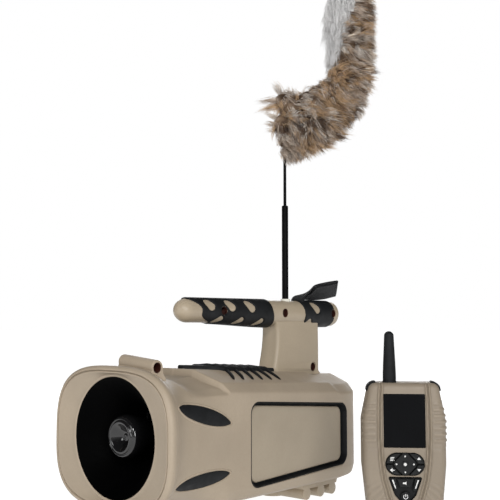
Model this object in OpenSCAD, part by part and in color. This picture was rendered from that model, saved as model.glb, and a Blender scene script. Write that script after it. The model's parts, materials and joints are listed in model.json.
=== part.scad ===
// Electronic game caller: a horn loudspeaker in a two-half case with a carrying handle,
// a motor that turns a fur decoy on a rod, and its handheld remote control beside it.
// +X is the caller's side with the screws, the horn faces -Y and +Z is up.
// The origin is the mouth of the tripod socket, on the plane that the caller stands on.

/* [Case] */
// Half width of the case at its side walls
case_half_w = 70; // [66:1:74]
// Height of the horn's axis above the ground
horn_z = 88; // [86:1:92]
// Distance from the tripod socket to the horn's mouth
front_reach = 240; // [236:1:250]
// Distance from the tripod socket to the rounded rear end
rear_reach = 112; // [110:1:114]
// Height of the deck where it starts behind the horn
deck_front_z = 152; // [150:1:154]
// Height of the deck at the rear
deck_rear_z = 136; // [135:1:138]
// Wall thickness of the mouldings
wall = 3; // [2.4:0.2:3.2]

/* [Horn] */
// Radius of the horn's mouth
mouth_r = 59; // [58:0.5:60]
// Radius of the horn's throat
throat_r = 13; // [11:0.5:14]
// Depth of the horn
horn_depth = 95; // [90:1:98]
// Radius of the central reflector
reflector_r = 21.5; // [20:0.5:22]
// Half width of the front bezel
bezel_half_w = 86; // [84:1:88]
// Half height of the front bezel
bezel_half_h = 70; // [69:1:72]

/* [Handle] */
// Height of the handle's axis
handle_z = 210.5; // [208:0.5:214]
// Outer radius of the handle tube
handle_r = 15.5; // [15:0.5:16.5]
// Rear end of the handle
handle_rear = 115; // [112:1:118]
// Thickness of the rubber grip sleeves
grip_t = 1.4; // [1:0.1:2]

/* [Decoy] */
// Height of the rod's top end
rod_top_z = 342; // [320:1:360]
// Height where the fur starts
fur_base_z = 402; // [380:1:420]
// Diameter of the rod
rod_d = 7.8; // [7:0.1:8]
// Diameter of the wire above the rod
wire_d = 3.7; // [3:0.1:4]

/* [Remote] */
// Height of the remote without its aerial
remote_h = 141; // [138:1:144]
// Thickness of the remote
remote_t = 30; // [28:1:32]
// Turn of the remote's face away from the horn's direction
remote_turn = 37; // [28:1:42]
// Sideways place of the remote
remote_x = 202.5; // [190:0.5:230]
// Lengthwise place of the remote
remote_y = -39.5; // [-60:0.5:-20]

/* [Hidden] */
$fn = 64;

tan_c = [0.66, 0.60, 0.54];
rubber_c = [0.10, 0.10, 0.11];
metal_c = [0.70, 0.70, 0.68];
gap = 0.3;
eps = 0.1;

mouth_y = -front_reach;
bezel_back_y = mouth_y + 12;
neck_y = mouth_y + 42;
body_y = mouth_y + 82;
round_y = 34;
case_bottom = 21;
crease_front_z = 131;
crease_rear_z = 117;
deck_half = 26;
deck_slope = (deck_front_z - deck_rear_z) / (rear_reach - body_y);
crease_slope = (crease_front_z - crease_rear_z) / (rear_reach - body_y);

pocket_y = 98;
pocket_half = 36;
pocket_low = 34;
pocket_high = 118;
door_half = 28;
door_low = 41;
door_high = 79;
door_pivot_y = 100.4;

panel_front = -117;
panel_rear = 53;
panel_depth = 9;
groove = 6.5;

spindle_y = 24;
gear_module = 1;
gear_teeth = 20;
pinion_teeth = 10;
gear_z = 176;
motor_y = spindle_y + gear_module * (gear_teeth + pinion_teeth) / 2 + 0.4;

pylon_half = 14;
pylon_front = -10;
pylon_rear = 74;
nose_y = mouth_y + 97.5;
tube_y = mouth_y + 17;
tube_z = horn_z + 71;
// Screw places as y, z and the depth of the counterbore's mouth
screw_places = [[-97.4, 211, 15.4], [6.4, 211, 15.4], [102, 211, 15.4], [61, 145.5, 14]];
// Middle line of the fur: reach from the rod, height and radius
fur_line = [[0, 408, 8], [13, 430, 22], [26, 450, 27], [42, 467, 27], [58, 484, 26],
    [69, 506, 26], [75, 533, 27], [79, 563, 28], [81, 593, 26], [82, 617, 17], [83, 638, 5]];
fur_turn = 41.6;
key_rise = 1.3;
screen_z = 104.5;
screen_h = 52;
pad_z = 63;
bar_z = 50;
power_z = 32.4;

function deck_z(y) = deck_front_z - deck_slope * (y - body_y);
function crease_z(y) = crease_front_z - crease_slope * (y - body_y);
function signed_pow(v, p) = sign(v) * pow(abs(v), p);
// Closed superellipse with the given half sizes about a centre height
function squircle(w, h, zc, n, count) = [
    for (i = [0 : count - 1])
        let (a = 360 * i / count)
            [w * signed_pow(cos(a), 2 / n), zc + h * signed_pow(sin(a), 2 / n)]
];
// Horn flare radius at a distance behind the mouth
function flare_r(s) = throat_r + (mouth_r - throat_r) * pow(1 - s / horn_depth, 2.2);
// Half of the case's cross-section: deck, shoulder, side wall and bottom corner
function half_section(y, t) = [
    [deck_half - t / 2, deck_z(y) - t],
    [case_half_w - 11 - t / 2, crease_z(y) + 5 - t],
    [case_half_w - t, crease_z(y) - 7 - t],
    [case_half_w - t, case_bottom + 14],
    [case_half_w - 4 - t, case_bottom + 4 + t / 2],
    [case_half_w - 14 - t / 2, case_bottom + t]
];
function mirrored(p) = concat(p, [for (i = [len(p) - 1 : -1 : 0]) [-p[i][0], p[i][1]]]);

// Extrudes a drawing of x and z from y0 to y1
module along_y(y0, y1) {
    translate([0, y1, 0]) rotate([90, 0, 0]) linear_extrude(y1 - y0) children();
}
// Extrudes a drawing of y and z from x0 to x1
module along_x(x0, x1) {
    translate([x0, 0, 0]) rotate([90, 0, 90]) linear_extrude(x1 - x0) children();
}
module rounded_rect(w, h, r) {
    square([w - 2 * r, h], center = true);
    square([w, h - 2 * r], center = true);
    for (x = [-1, 1], y = [-1, 1])
        translate([x * (w / 2 - r), y * (h / 2 - r)]) circle(r);
}
module half_space(side) {
    translate([side > 0 ? 0.05 : -400.05, -400, -50]) cube([400, 800, 500]);
}
// Cylinder along Y from y0 to y1
module rod_y(r, y0, y1, x, z) {
    translate([x, y1, z]) rotate([90, 0, 0]) cylinder(r = r, h = y1 - y0);
}
// Cylinder along X from x0 to x1
module rod_x(r, x0, x1, y, z) {
    translate([x0, y, z]) rotate([0, 90, 0]) cylinder(r = r, h = x1 - x0);
}

// ---------------------------------------------------------------- case

module case_plan(t) {
    w = case_half_w - t;
    b = rear_reach - round_y - t;
    arc = [for (i = [0 : 20]) let (a = 180 * i / 20)
        [w * signed_pow(cos(a), 0.9), round_y + b * signed_pow(sin(a), 0.9)]];
    linear_extrude(200)
        polygon(concat(arc, [[-w, body_y - 5], [w, body_y - 5]]));
}
module case_side_view(t) {
    r = 28;
    arc = [for (i = [0 : 8]) let (a = 90 * i / 8)
        [rear_reach - t - r * (1 - sin(a)), deck_rear_z + 1 - t - r * (1 - cos(a))]];
    along_x(-100, 100)
        polygon(concat([[body_y - 5, 0], [body_y - 5, 200], [rear_reach - r - t, 200]],
            arc, [[rear_reach - t, 0]]));
}
// The case's outer form drawn in by t on every side
module case_form(t) {
    hull() {
        along_y(bezel_back_y - (t > 0 ? 1 : 0), bezel_back_y + eps)
            polygon(squircle(80 - t, 67 - t, horn_z, 3, 24));
        along_y(neck_y, neck_y + eps)
            polygon(squircle(73 - t, 62.5 - t, horn_z - 4.5, 3.4, 24));
    }
    hull() {
        along_y(neck_y, neck_y + eps)
            polygon(squircle(73 - t, 62.5 - t, horn_z - 4.5, 3.4, 24));
        along_y(body_y, body_y + eps) polygon(mirrored(half_section(body_y, t)));
    }
    intersection() {
        hull() {
            along_y(body_y, body_y + eps) polygon(mirrored(half_section(body_y, t)));
            along_y(rear_reach, rear_reach + eps) polygon(mirrored(half_section(rear_reach, t)));
        }
        case_plan(t);
        case_side_view(t);
    }
}
// Outline of the side panel's pocket, narrower towards the rear
module panel_outline(inset) {
    r = 9 - inset / 2;
    hull() {
        for (z = [30, 118])
            translate([panel_front + inset + r, z + (z < 60 ? 1 : -1) * (inset + r)]) circle(r);
        for (z = [36, 107])
            translate([panel_rear - inset - r, z + (z < 60 ? 1 : -1) * (inset + r)]) circle(r);
    }
}
module side_cut(side, x0, x1, inset) {
    mirror([side > 0 ? 0 : 1, 0, 0]) along_x(x0, x1) panel_outline(inset);
}
module shell_half(side) {
    color(tan_c) difference() {
        intersection() {
            difference() {
                case_form(0);
                case_form(wall);
            }
            half_space(side);
        }
        side_cut(side, 50, 90, 0);
        translate([-pocket_half - 0.1, 80, pocket_low - 0.1])
            cube([2 * pocket_half + 0.2, 60, pocket_high - pocket_low + 0.2]);
        translate([-10, pylon_front + 8, 120]) cube([20, pylon_rear - pylon_front - 20, 40]);
    }
}
module shell_right() { shell_half(1); }
module shell_left() { shell_half(-1); }

module front_bezel() {
    color(tan_c) difference() {
        union() {
            along_y(mouth_y + 3, bezel_back_y)
                polygon(squircle(bezel_half_w, bezel_half_h, horn_z, 3.1, 64));
            along_y(mouth_y, mouth_y + 3)
                polygon(squircle(bezel_half_w - 3, bezel_half_h - 3, horn_z, 3.1, 64));
            rod_x(6.5, -5, 45, tube_y, tube_z);
            translate([-5, bezel_back_y - 2, tube_z - 12]) cube([50, 8, 7]);
        }
        rod_y(mouth_r + 0.2, mouth_y - 1, bezel_back_y + 30, 0, horn_z);
        rod_x(4.5, 12, 50, tube_y, tube_z);
        rod_x(2, -2, 50, tube_y, tube_z);
        case_form(-0.06);
    }
}

module horn_bell() {
    steps = 16;
    outer = [for (i = [0 : steps]) let (s = horn_depth * i / steps)
        [flare_r(s) - (i == 0 ? 2.6 : 0) + 2.6, -s]];
    inner = [for (i = [steps : -1 : 0]) let (s = horn_depth * i / steps)
        [flare_r(s) - (i == 0 ? 2.2 : 0), -s]];
    color(rubber_c) translate([0, mouth_y + 0.4, horn_z]) rotate([90, 0, 0]) {
        rotate_extrude() polygon(concat(outer, inner));
        translate([0, 0, -horn_depth - 4]) difference() {
            cylinder(r = 30, h = 5);
            translate([0, 0, -1]) cylinder(r = throat_r, h = 8);
            for (a = [45 : 90 : 315]) rotate(a) translate([24, 0, -1]) cylinder(r = 2, h = 8);
        }
    }
}

module horn_reflector() {
    r = reflector_r;
    color([0.13, 0.13, 0.14]) translate([0, mouth_y, horn_z]) rotate([90, 0, 0]) {
        rotate_extrude() polygon([[0, -16], [5, -12], [11, -8.5], [14.5, -7], [17, -7.6],
            [19.5, -9.5], [r, -14], [r - 0.8, -22], [r - 4, -34], [r - 9, -46], [7, -58],
            [0, -64]]);
        for (a = [90 : 120 : 330]) rotate(a) translate([8, -1.2, -50])
            cube([flare_r(50.5) - 8.2, 2.4, 8]);
    }
}

module driver_magnet() {
    y0 = mouth_y + horn_depth + 4.6;
    color(metal_c) {
        rod_y(28, y0 + 4, y0 + 26, 0, horn_z);
        rod_y(22, y0, y0 + 4.2, 0, horn_z);
        rod_y(18, y0 + 25.8, y0 + 34, 0, horn_z);
    }
}

module driver_bracket() {
    y0 = mouth_y + horn_depth + 31;
    color(rubber_c) difference() {
        along_y(y0, y0 + 3) translate([0, horn_z]) rounded_rect(116, 60, 8);
        rod_y(18.3, y0 - 1, y0 + 5, 0, horn_z);
        for (x = [-52, 52]) rod_y(2.2, y0 - 1, y0 + 5, x, horn_z);
    }
}

module panel_gasket(side) {
    color(rubber_c) difference() {
        side_cut(side, case_half_w - panel_depth - 2, case_half_w - 0.6, 0.15);
        side_cut(side, case_half_w - panel_depth, case_half_w + 1, 1.6);
    }
}
module panel_gasket_right() { panel_gasket(1); }
module panel_gasket_left() { panel_gasket(-1); }

module side_panel(side) {
    color(tan_c)
        side_cut(side, case_half_w - panel_depth + 0.1, case_half_w - 5.2, groove);
}
module side_panel_right() { side_panel(1); }
module side_panel_left() { side_panel(-1); }

// Rubber lozenges let into the neck, two on each side
module oval_inlays() {
    color(rubber_c) for (side = [-1, 1], k = [0, 1])
        translate([side * 73.2, -188, k == 0 ? 110 : 49])
            rotate([k == 0 ? -16 : 4, 0, side * 5.4])
                rotate([90, 0, 90]) translate([0, 0, -1]) linear_extrude(2)
                    polygon([for (i = [0 : 31]) let (a = 360 * i / 32)
                        [37 * cos(a), 9 * signed_pow(sin(a), 1.25)]]);
}

// Ribbed rubber pad on the deck, with fingers that lie down over the shoulders
module deck_pad() {
    tilt = atan(deck_slope);
    color(rubber_c) {
        translate([0, body_y, deck_front_z + 0.15]) rotate([-tilt, 0, 0]) {
            linear_extrude(2.2) polygon([[-4, -4], [4, -4], [25, 40], [25, 118], [18, 137],
                [-18, 137], [-25, 118], [-25, 40]]);
            for (i = [0 : 5])
                translate([-20 + i * 0.4, 30 + 13.1 * i, 2]) cube([40 - i * 0.8, 5, 2]);
        }
        for (side = [-1, 1], i = [0 : 5]) {
            y = -110 + 13.1 * i;
            shoulder = atan((deck_z(y) - crease_z(y) - 5) / (case_half_w - 11 - deck_half));
            translate([side * 24.4, y, deck_z(y) + 2])
                rotate([0, side * shoulder, side * (-14 + 2.4 * i)])
                    translate([side > 0 ? 0 : -30, -1.7, 0]) cube([30, 3.4, 1.4]);
        }
    }
}

module rear_panel() {
    mid_z = (pocket_low + pocket_high) / 2;
    h = pocket_high - pocket_low;
    color(rubber_c) difference() {
        intersection() {
            along_y(pocket_y - 3, 130) translate([0, mid_z]) square([2 * pocket_half, h], center = true);
            case_plan(0.4);
            case_side_view(0.4);
        }
        along_y(pocket_y, 131) translate([0, mid_z]) rounded_rect(2 * pocket_half - 5, h - 5, 5);
        translate([-door_half, pocket_y - 4, door_low]) cube([2 * door_half, 6, door_high - door_low]);
        rod_y(3.4, pocket_y - 4, pocket_y + 1, -20, 98);
        rod_y(6.4, pocket_y - 4, pocket_y + 1, 20, 98);
        rod_y(4.1, pocket_y - 4, pocket_y + 1, 0, 104);
        rod_y(2.2, pocket_y - 4, pocket_y + 1, 0, 92);
    }
}

module battery_door() {
    color(tan_c) difference() {
        union() {
            translate([-door_half + gap, pocket_y - 2.4, door_low + 1.6])
                cube([2 * door_half - 2 * gap, 2.6, door_high - door_low - 1.6 - gap]);
            for (x = [-20, 10]) {
                rod_x(1.9, x, x + 10, door_pivot_y, door_low);
                translate([x, pocket_y - 1, door_low + 0.4]) cube([10, 2.6, 2.4]);
            }
            translate([-9, pocket_y + 0.1, door_high - 9]) cube([18, 2.4, 3]);
            translate([-9, pocket_y + 0.1, door_high - 5]) cube([18, 1.6, 1.6]);
        }
        rod_x(1.05, -40, 40, door_pivot_y, door_low);
    }
}

module volume_knob() {
    color([0.14, 0.14, 0.15]) {
        difference() {
            rod_y(9, pocket_y + 0.6, pocket_y + 11, -20, 98);
            translate([-20.6, pocket_y + 10, 100]) cube([1.2, 2, 5]);
            for (a = [0 : 20 : 340])
                translate([-20 + 9.4 * cos(a), pocket_y + 12, 98 + 9.4 * sin(a)])
                    rotate([90, 0, 0]) cylinder(r = 0.9, h = 9);
        }
        rod_y(3, pocket_y - 8, pocket_y + 0.7, -20, 98);
    }
}

module power_button() {
    color([0.55, 0.10, 0.08]) {
        rod_y(6, pocket_y - 2, pocket_y + 3, 20, 98);
        rod_y(7.5, pocket_y - 6, pocket_y - 3.4, 20, 98);
        rod_y(4, pocket_y - 3.5, pocket_y - 1.9, 20, 98);
    }
}

module status_light() {
    color([0.1, 0.7, 0.2]) rod_y(2, pocket_y - 5, pocket_y + 0.8, 0, 92);
}

module speaker_jack() {
    color(metal_c) difference() {
        union() {
            rod_y(4, pocket_y - 14, pocket_y + 1.5, 0, 104);
            rod_y(5.2, pocket_y + 0.1, pocket_y + 1.6, 0, 104);
        }
        rod_y(1.8, pocket_y - 10.4, pocket_y + 2, 0, 104);
    }
}

module circuit_board() {
    color([0.08, 0.32, 0.14]) difference() {
        translate([-38, -62, 84]) cube([76, 120, 1.6]);
        for (x = [-33, 33], y = [-57, 53]) translate([x, y, 80]) cylinder(r = 1.7, h = 8);
    }
    color(rubber_c) {
        translate([-18, -40, 85.5]) cube([24, 24, 3]);
        translate([14, -30, 85.5]) cube([14, 18, 6]);
        for (x = [-26, -10, 6, 22]) translate([x, 30, 85.5]) cylinder(r = 5, h = 12);
        translate([-30, 5, 85.5]) cube([40, 10, 8]);
    }
}

module battery_tray() {
    color(rubber_c) difference() {
        translate([-33, 24, 39.5]) cube([66, 64, 39]);
        translate([-31, 28, 41.5]) cube([62, 62, 35]);
    }
}

// Eight round cells in two layers
module batteries() {
    color([0.75, 0.60, 0.20]) for (i = [0 : 3], k = [0, 1]) {
        x = -23.1 + 15.4 * i;
        z = 50 + 16.5 * k;
        rod_y(7.2, 32, 81, x, z);
        rod_y(2.7, 80.9, 82.5, x, z);
    }
}

// ---------------------------------------------------------------- handle

module handle_half(side) {
    color(tan_c) difference() {
        intersection() {
            difference() {
                union() {
                    rod_y(handle_r, nose_y, handle_rear - 3, 0, handle_z);
                    rod_y(handle_r - 2, handle_rear - 3.1, handle_rear, 0, handle_z);
                    translate([0, nose_y, handle_z]) sphere(r = handle_r);
                    translate([-pylon_half, pylon_front, 130])
                        cube([2 * pylon_half, pylon_rear - pylon_front, handle_z - 130]);
                    along_x(-pylon_half, pylon_half) polygon([[pylon_front - 9, 130],
                        [pylon_front - 8, 146], [pylon_front - 3, 158],
                        [pylon_front + 0.5, 176], [pylon_front + 0.5, 130]]);
                }
                rod_y(handle_r - wall, nose_y, handle_rear - wall - 1, 0, handle_z);
                translate([0, nose_y, handle_z]) sphere(r = handle_r - wall);
                translate([-pylon_half + wall, pylon_front + wall, 100])
                    cube([2 * (pylon_half - wall), pylon_rear - pylon_front - 2 * wall, 100]);
            }
            half_space(side);
        }
        translate([0, spindle_y, handle_z]) cylinder(r = 6.4, h = 30);
        translate([-11, 44, handle_z + 8]) cube([22, 5, 12]);
        for (p = screw_places) {
            if (side > 0) rod_x(3.6, p[2] - 6, 30, p[0], p[1]);
            if (side > 0) rod_x(1.6, -1, 30, p[0], p[1]);
            if (side < 0) rod_x(1.3, -9, 1, p[0], p[1]);
        }
        translate([-4.2, pylon_rear - 10, 145]) cube([8.4, 12, 10]);
        translate([-50, body_y, deck_front_z + 0.15]) rotate([-atan(deck_slope), 0, 0])
            translate([0, 0, -100]) cube([100, 400, 100]);
    }
}
module handle_right() { handle_half(1); }
module handle_left() { handle_half(-1); }

// A slanted round-ended window cut from the outside of a grip sleeve
module grip_window(y, side, turn, len, width, slant) {
    translate([0, y, handle_z]) rotate([0, side * turn, 0]) rotate([0, 0, side * slant])
        translate([0, 0, 10]) linear_extrude(12) {
            square([width, len - width], center = true);
            for (k = [-1, 1]) translate([0, k * (len - width) / 2]) circle(width / 2);
        }
}
module grip_sleeve(y0, y1, windows, notches) {
    color(rubber_c) difference() {
        rod_y(handle_r + grip_t, y0, y1, 0, handle_z);
        rod_y(handle_r + 0.05, y0 - 1, y1 + 1, 0, handle_z);
        for (side = [-1, 1]) {
            for (y = windows) grip_window(y, side, 58, 21, 9, 28);
            for (y = notches) grip_window(y, side, 130, 12, 8, 0);
            for (p = screw_places) rod_x(3.8, side > 0 ? 0 : -40, side > 0 ? 40 : 0, p[0], p[1]);
        }
        translate([-20, pylon_front - 0.3, handle_z - 20])
            cube([40, pylon_rear - pylon_front + 0.6, 20 - 6]);
        translate([-12, 43, handle_z]) cube([24, 7, 30]);
    }
}
module grip_front() { grip_sleeve(-139, -14, [-119, -86, -53], [-127, -102, -70, -37]); }
module grip_rear() { grip_sleeve(42, 103, [67], [50, 88]); }

// Screws in the counterbores of the handle, the pylon and the bezel's tube
module case_screws() {
    color([0.30, 0.12, 0.09]) {
        for (p = screw_places) {
            rod_x(3.3, p[2] - 5.8, p[2] - 3.4, p[0], p[1]);
            rod_x(1.4, 0.4, p[2] - 5.7, p[0], p[1]);
        }
        rod_x(4.2, 12.3, 15, tube_y, tube_z);
        rod_x(1.8, -1.5, 12.4, tube_y, tube_z);
    }
}

// Folded webbing loop behind the rod: flat in its slot, then standing on edge
module wrist_strap() {
    color(rubber_c) {
        translate([-9, 44.6, handle_z + 9]) cube([18, 3.8, 12]);
        hull() {
            translate([-9, 44.6, handle_z + 17.5]) cube([18, 3.8, 2]);
            translate([-3.5, 74, handle_z + 18.5]) cube([7, 3, 15]);
        }
        hull() {
            translate([-3.5, 74, handle_z + 18.5]) cube([7, 3, 15]);
            translate([-3, 126, handle_z + 26]) rotate([8, 0, 0]) cube([6, 5, 16]);
        }
    }
}

module port_cover() {
    color(rubber_c) {
        translate([-9, pylon_rear + gap, 143]) cube([18, 2.2, 18]);
        rod_x(1.6, -9, 9, pylon_rear + 1.9, 143);
    }
}

module charge_port() {
    color(metal_c) difference() {
        translate([-4, pylon_rear - 9.5, 145.2]) cube([8, 9, 9.6]);
        rod_y(1.75, pylon_rear - 7, pylon_rear + 1, 0, 150);
    }
}

// ---------------------------------------------------------------- decoy drive

module decoy_motor() {
    color(metal_c) translate([0, motor_y, 0]) {
        translate([0, 0, gear_z - 34]) cylinder(r = 10, h = 30);
        translate([0, 0, gear_z - 4.1]) cylinder(r = 3, h = 1.6);
        translate([0, 0, gear_z - 36]) cylinder(r = 3, h = 2.1);
    }
}
// Spur gear outline with straight-sided teeth
module gear_outline(teeth, phase) {
    r = gear_module * teeth / 2;
    step = 360 / teeth;
    polygon([for (i = [0 : teeth - 1], p = [[-0.27, -1.25], [-0.12, 0.85], [0.12, 0.85], [0.27, -1.25]])
        let (a = phase + step * (i + p[0]), q = r + gear_module * p[1])
            [q * cos(a), q * sin(a)]]);
}
module motor_pinion() {
    color([0.85, 0.83, 0.75]) translate([0, motor_y, gear_z]) difference() {
        linear_extrude(7) gear_outline(pinion_teeth, 270 + 180 / pinion_teeth);
        translate([0, 0, -1]) cylinder(r = 1, h = 4);
    }
}
module decoy_spindle() {
    color([0.85, 0.83, 0.75]) translate([0, spindle_y, 0]) difference() {
        union() {
            translate([0, 0, gear_z + 0.5]) linear_extrude(6) gear_outline(gear_teeth, 90);
            translate([0, 0, 164]) cylinder(r = 3, h = 14);
            translate([0, 0, gear_z + 6]) cylinder(r = 5.8, h = 228 - gear_z - 6);
        }
        translate([0, 0, 194]) cylinder(r = rod_d / 2 + 0.1, h = 40);
    }
}
module spindle_bearings() {
    color(metal_c) translate([0, spindle_y, 0]) {
        translate([0, 0, 165]) difference() {
            cylinder(r = 5.2, h = 6);
            translate([0, 0, -1]) cylinder(r = 3.05, h = 8);
        }
        translate([0, 0, 186]) difference() {
            cylinder(r = 10, h = 6);
            translate([0, 0, -1]) cylinder(r = 5.85, h = 8);
        }
    }
}
module decoy_rod() {
    color(rubber_c) translate([0, spindle_y, 0]) difference() {
        translate([0, 0, 194.3]) cylinder(d = rod_d, h = rod_top_z - 194.3);
        translate([0, 0, rod_top_z - 30]) cylinder(d = wire_d + 0.1, h = 40);
    }
}
module decoy_wire() {
    color(rubber_c) translate([0, spindle_y, 0]) {
        translate([0, 0, rod_top_z - 29]) cylinder(d = wire_d, h = fur_base_z - 3 - rod_top_z + 29);
    }
}
module decoy_fur() {
    color([0.55, 0.44, 0.34]) translate([0, spindle_y, 0]) rotate(fur_turn)
        for (i = [0 : len(fur_line) - 2]) hull()
            for (p = [fur_line[i], fur_line[i + 1]])
                translate([p[0], 0, p[1]]) sphere(r = p[2], $fn = 16);
}

// ---------------------------------------------------------------- feet

module tripod_bracket() {
    color(tan_c) difference() {
        union() {
            along_x(-52, 52) {
                polygon([[-14, 20.7], [-8, 12], [54, 12], [58, 20.7]]);
                translate([-2, 7]) circle(7);
                translate([24, 7]) circle(7);
                translate([46, 7]) circle(7);
            }
            cylinder(r = 15, h = 20.7);
        }
        translate([0, 0, -1]) cylinder(r = 5.05, h = 14);
        translate([-44, 33, -1]) cube([88, 4, 14]);
        translate([-44, 9, -1]) cube([88, 6, 6]);
    }
}
module tripod_insert() {
    color([0.72, 0.55, 0.25]) difference() {
        cylinder(r = 5, h = 12.5);
        translate([0, 0, -1]) cylinder(r = 2.6, h = 12);
    }
}
module front_feet() {
    color(rubber_c) for (x = [-40, 40]) translate([x, -206, 0]) {
        cylinder(r = 10, h = 5);
        translate([0, 0, 4.9]) cylinder(r1 = 9, r2 = 12, h = 16.5);
    }
}

// ---------------------------------------------------------------- remote control

// Places a child drawn with its face at y = 0, facing -Y, on the remote's spot
module at_remote() {
    translate([remote_x, remote_y, 0]) rotate(remote_turn) translate([0, -remote_t / 2, 0]) children();
}
module remote_outline(t) {
    hull() for (p = [[27.5, 133, 8], [32.4, 104, 9], [32.4, 62, 9], [24, 20, 13], [14.5, 8, 8]], s = [-1, 1])
        translate([s * p[0], p[1]]) circle(r = p[2] - t, $fn = 32);
}
module remote_front() {
    color(tan_c) at_remote() difference() {
        along_y(0, remote_t / 2) remote_outline(0);
        along_y(2.6, remote_t / 2 + 1) remote_outline(2.4);
        along_y(-1, 4) translate([0, screen_z]) square([40.6, screen_h], center = true);
        along_y(-1, 4) key_ring_outline(0.35);
        for (s = [-1, 1]) {
            along_y(-1, 4) corner_key_outline(s, 1, 0.35);
            along_y(-1, 4) corner_key_outline(s, -1, 0.35);
            along_y(-1, 4) bar_outline(s, 0.35);
        }
        along_y(-1, 4) mute_outline(0.35);
        rod_y(5.6, -1, 4, 0, power_z);
        translate([-13, remote_t / 2, remote_h - 6]) cylinder(r = 4.1, h = 10);
    }
}
module remote_back() {
    color(tan_c) at_remote() difference() {
        along_y(remote_t / 2 + 0.05, remote_t) remote_outline(0);
        along_y(remote_t / 2 - 1, remote_t - 2.4) remote_outline(2.4);
        along_y(remote_t - 4, remote_t + 1) translate([0, 52]) rounded_rect(46, 62, 4);
        translate([-13, remote_t / 2, remote_h - 6]) cylinder(r = 4.1, h = 10);
    }
}
module remote_bumpers() {
    color(rubber_c) at_remote() intersection() {
        for (s = [-1, 1]) translate([s * 33.5, 3, 135.5]) rotate([0, s * 45, 0])
            translate([-6, 0, 0]) cube([12, remote_t - 6, 7]);
        difference() {
            along_y(0, remote_t) remote_outline(-1.6);
            along_y(-1, remote_t + 1) remote_outline(-0.05);
        }
    }
}
// Raised rubber rails down both edges, with a ribbed thumb area
module remote_side_strips() {
    color(rubber_c) at_remote() intersection() {
        for (s = [-1, 1]) {
            translate([s > 0 ? 30 : -50, 8, 36]) cube([20, remote_t - 16, 86]);
        }
        difference() {
            along_y(0, remote_t) remote_outline(-1.8);
            along_y(-1, remote_t + 1) remote_outline(-0.05);
        }
    }
}
module remote_screen() {
    color([0.03, 0.04, 0.06]) at_remote()
        along_y(0.8, 3.4) translate([0, screen_z])
            square([40.2, screen_h - 0.4], center = true);
}
module remote_antenna() {
    color(rubber_c) at_remote() translate([-13, remote_t / 2, 0]) {
        translate([0, 0, remote_h + 0.1]) cylinder(r1 = 6.6, r2 = 4.6, h = 46);
        translate([0, 0, remote_h + 46]) sphere(r = 4.55);
        translate([0, 0, remote_h - 5.5]) cylinder(r = 4, h = 5.7);
    }
}
module remote_board() {
    color([0.08, 0.32, 0.14]) at_remote() along_y(9, 10.6) difference() {
        remote_outline(3.4);
        translate([0, 134]) circle(2);
    }
}
module remote_cells() {
    color([0.75, 0.60, 0.20]) at_remote() for (i = [-1, 0, 1])
        translate([i * 14, 20, 29]) {
            cylinder(r = 6.8, h = 43);
            translate([0, 0, 42.9]) cylinder(r = 2.4, h = 1.6);
        }
}
module remote_battery_door() {
    color(tan_c) at_remote() difference() {
        along_y(remote_t - 2.2, remote_t) translate([0, 52]) rounded_rect(45.4, 61.4, 3.8);
        for (i = [0 : 4]) translate([-10, remote_t - 0.8, 66 + i * 3]) cube([20, 2, 1.2]);
    }
}

// Oval ring pad with four corner pads cut from its ends
module pad_oval(t) {
    translate([0, pad_z]) hull() for (s = [-1, 1]) translate([s * 8.5, 0]) circle(r = 11 - t, $fn = 48);
}
module key_ring_outline(t) {
    translate([0, pad_z]) hull() {
        for (s = [-1, 1]) translate([s * 7, 0]) circle(r = 4 + t, $fn = 32);
        for (k = [-1, 1]) translate([0, k * 6.5]) circle(r = 4.4 + t, $fn = 32);
    }
}
module corner_key_outline(s, k, t) {
    intersection() {
        pad_oval(-t + 0.35);
        difference() {
            translate([s > 0 ? 4 - t : -24 - t, pad_z + (k > 0 ? 0.6 : -12) - t])
                square([20 + 2 * t, 11.4 + 2 * t]);
            key_ring_outline(1.1 - t);
        }
    }
}
module bar_outline(s, t) {
    polygon([[s * (9.2 - t), bar_z + t], [s * (15.4 + t), bar_z + t], [s * (10.4 + t), bar_z - 13 - t],
        [s * (6.6 - t), bar_z - 13 - t]]);
}
module mute_outline(t) {
    polygon([[-8.2 - t, bar_z - 1 + t], [8.2 + t, bar_z - 1 + t], [5.6 + t, bar_z - 9.2 - t],
        [-5.6 - t, bar_z - 9.2 - t]]);
}
module key_block() {
    color(rubber_c) at_remote() along_y(-key_rise, 5) children();
}
module key_ring() {
    color(rubber_c) at_remote() difference() {
        along_y(-key_rise, 5) key_ring_outline(0);
        rod_y(3.9, -3, 6, 0, pad_z);
    }
}
module key_select() { color(rubber_c) at_remote() rod_y(3.5, -key_rise - 0.3, 5, 0, pad_z); }
module key_menu() { key_block() corner_key_outline(-1, 1, 0); }
module key_back() { key_block() corner_key_outline(-1, -1, 0); }
module key_up() { key_block() corner_key_outline(1, 1, 0); }
module key_down() { key_block() corner_key_outline(1, -1, 0); }
module key_left() { key_block() bar_outline(-1, 0); }
module key_right() { key_block() bar_outline(1, 0); }
module key_mute() { key_block() mute_outline(0); }
module key_power() { color(rubber_c) at_remote() rod_y(5.2, -key_rise - 0.2, 5, 0, power_z); }

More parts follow.
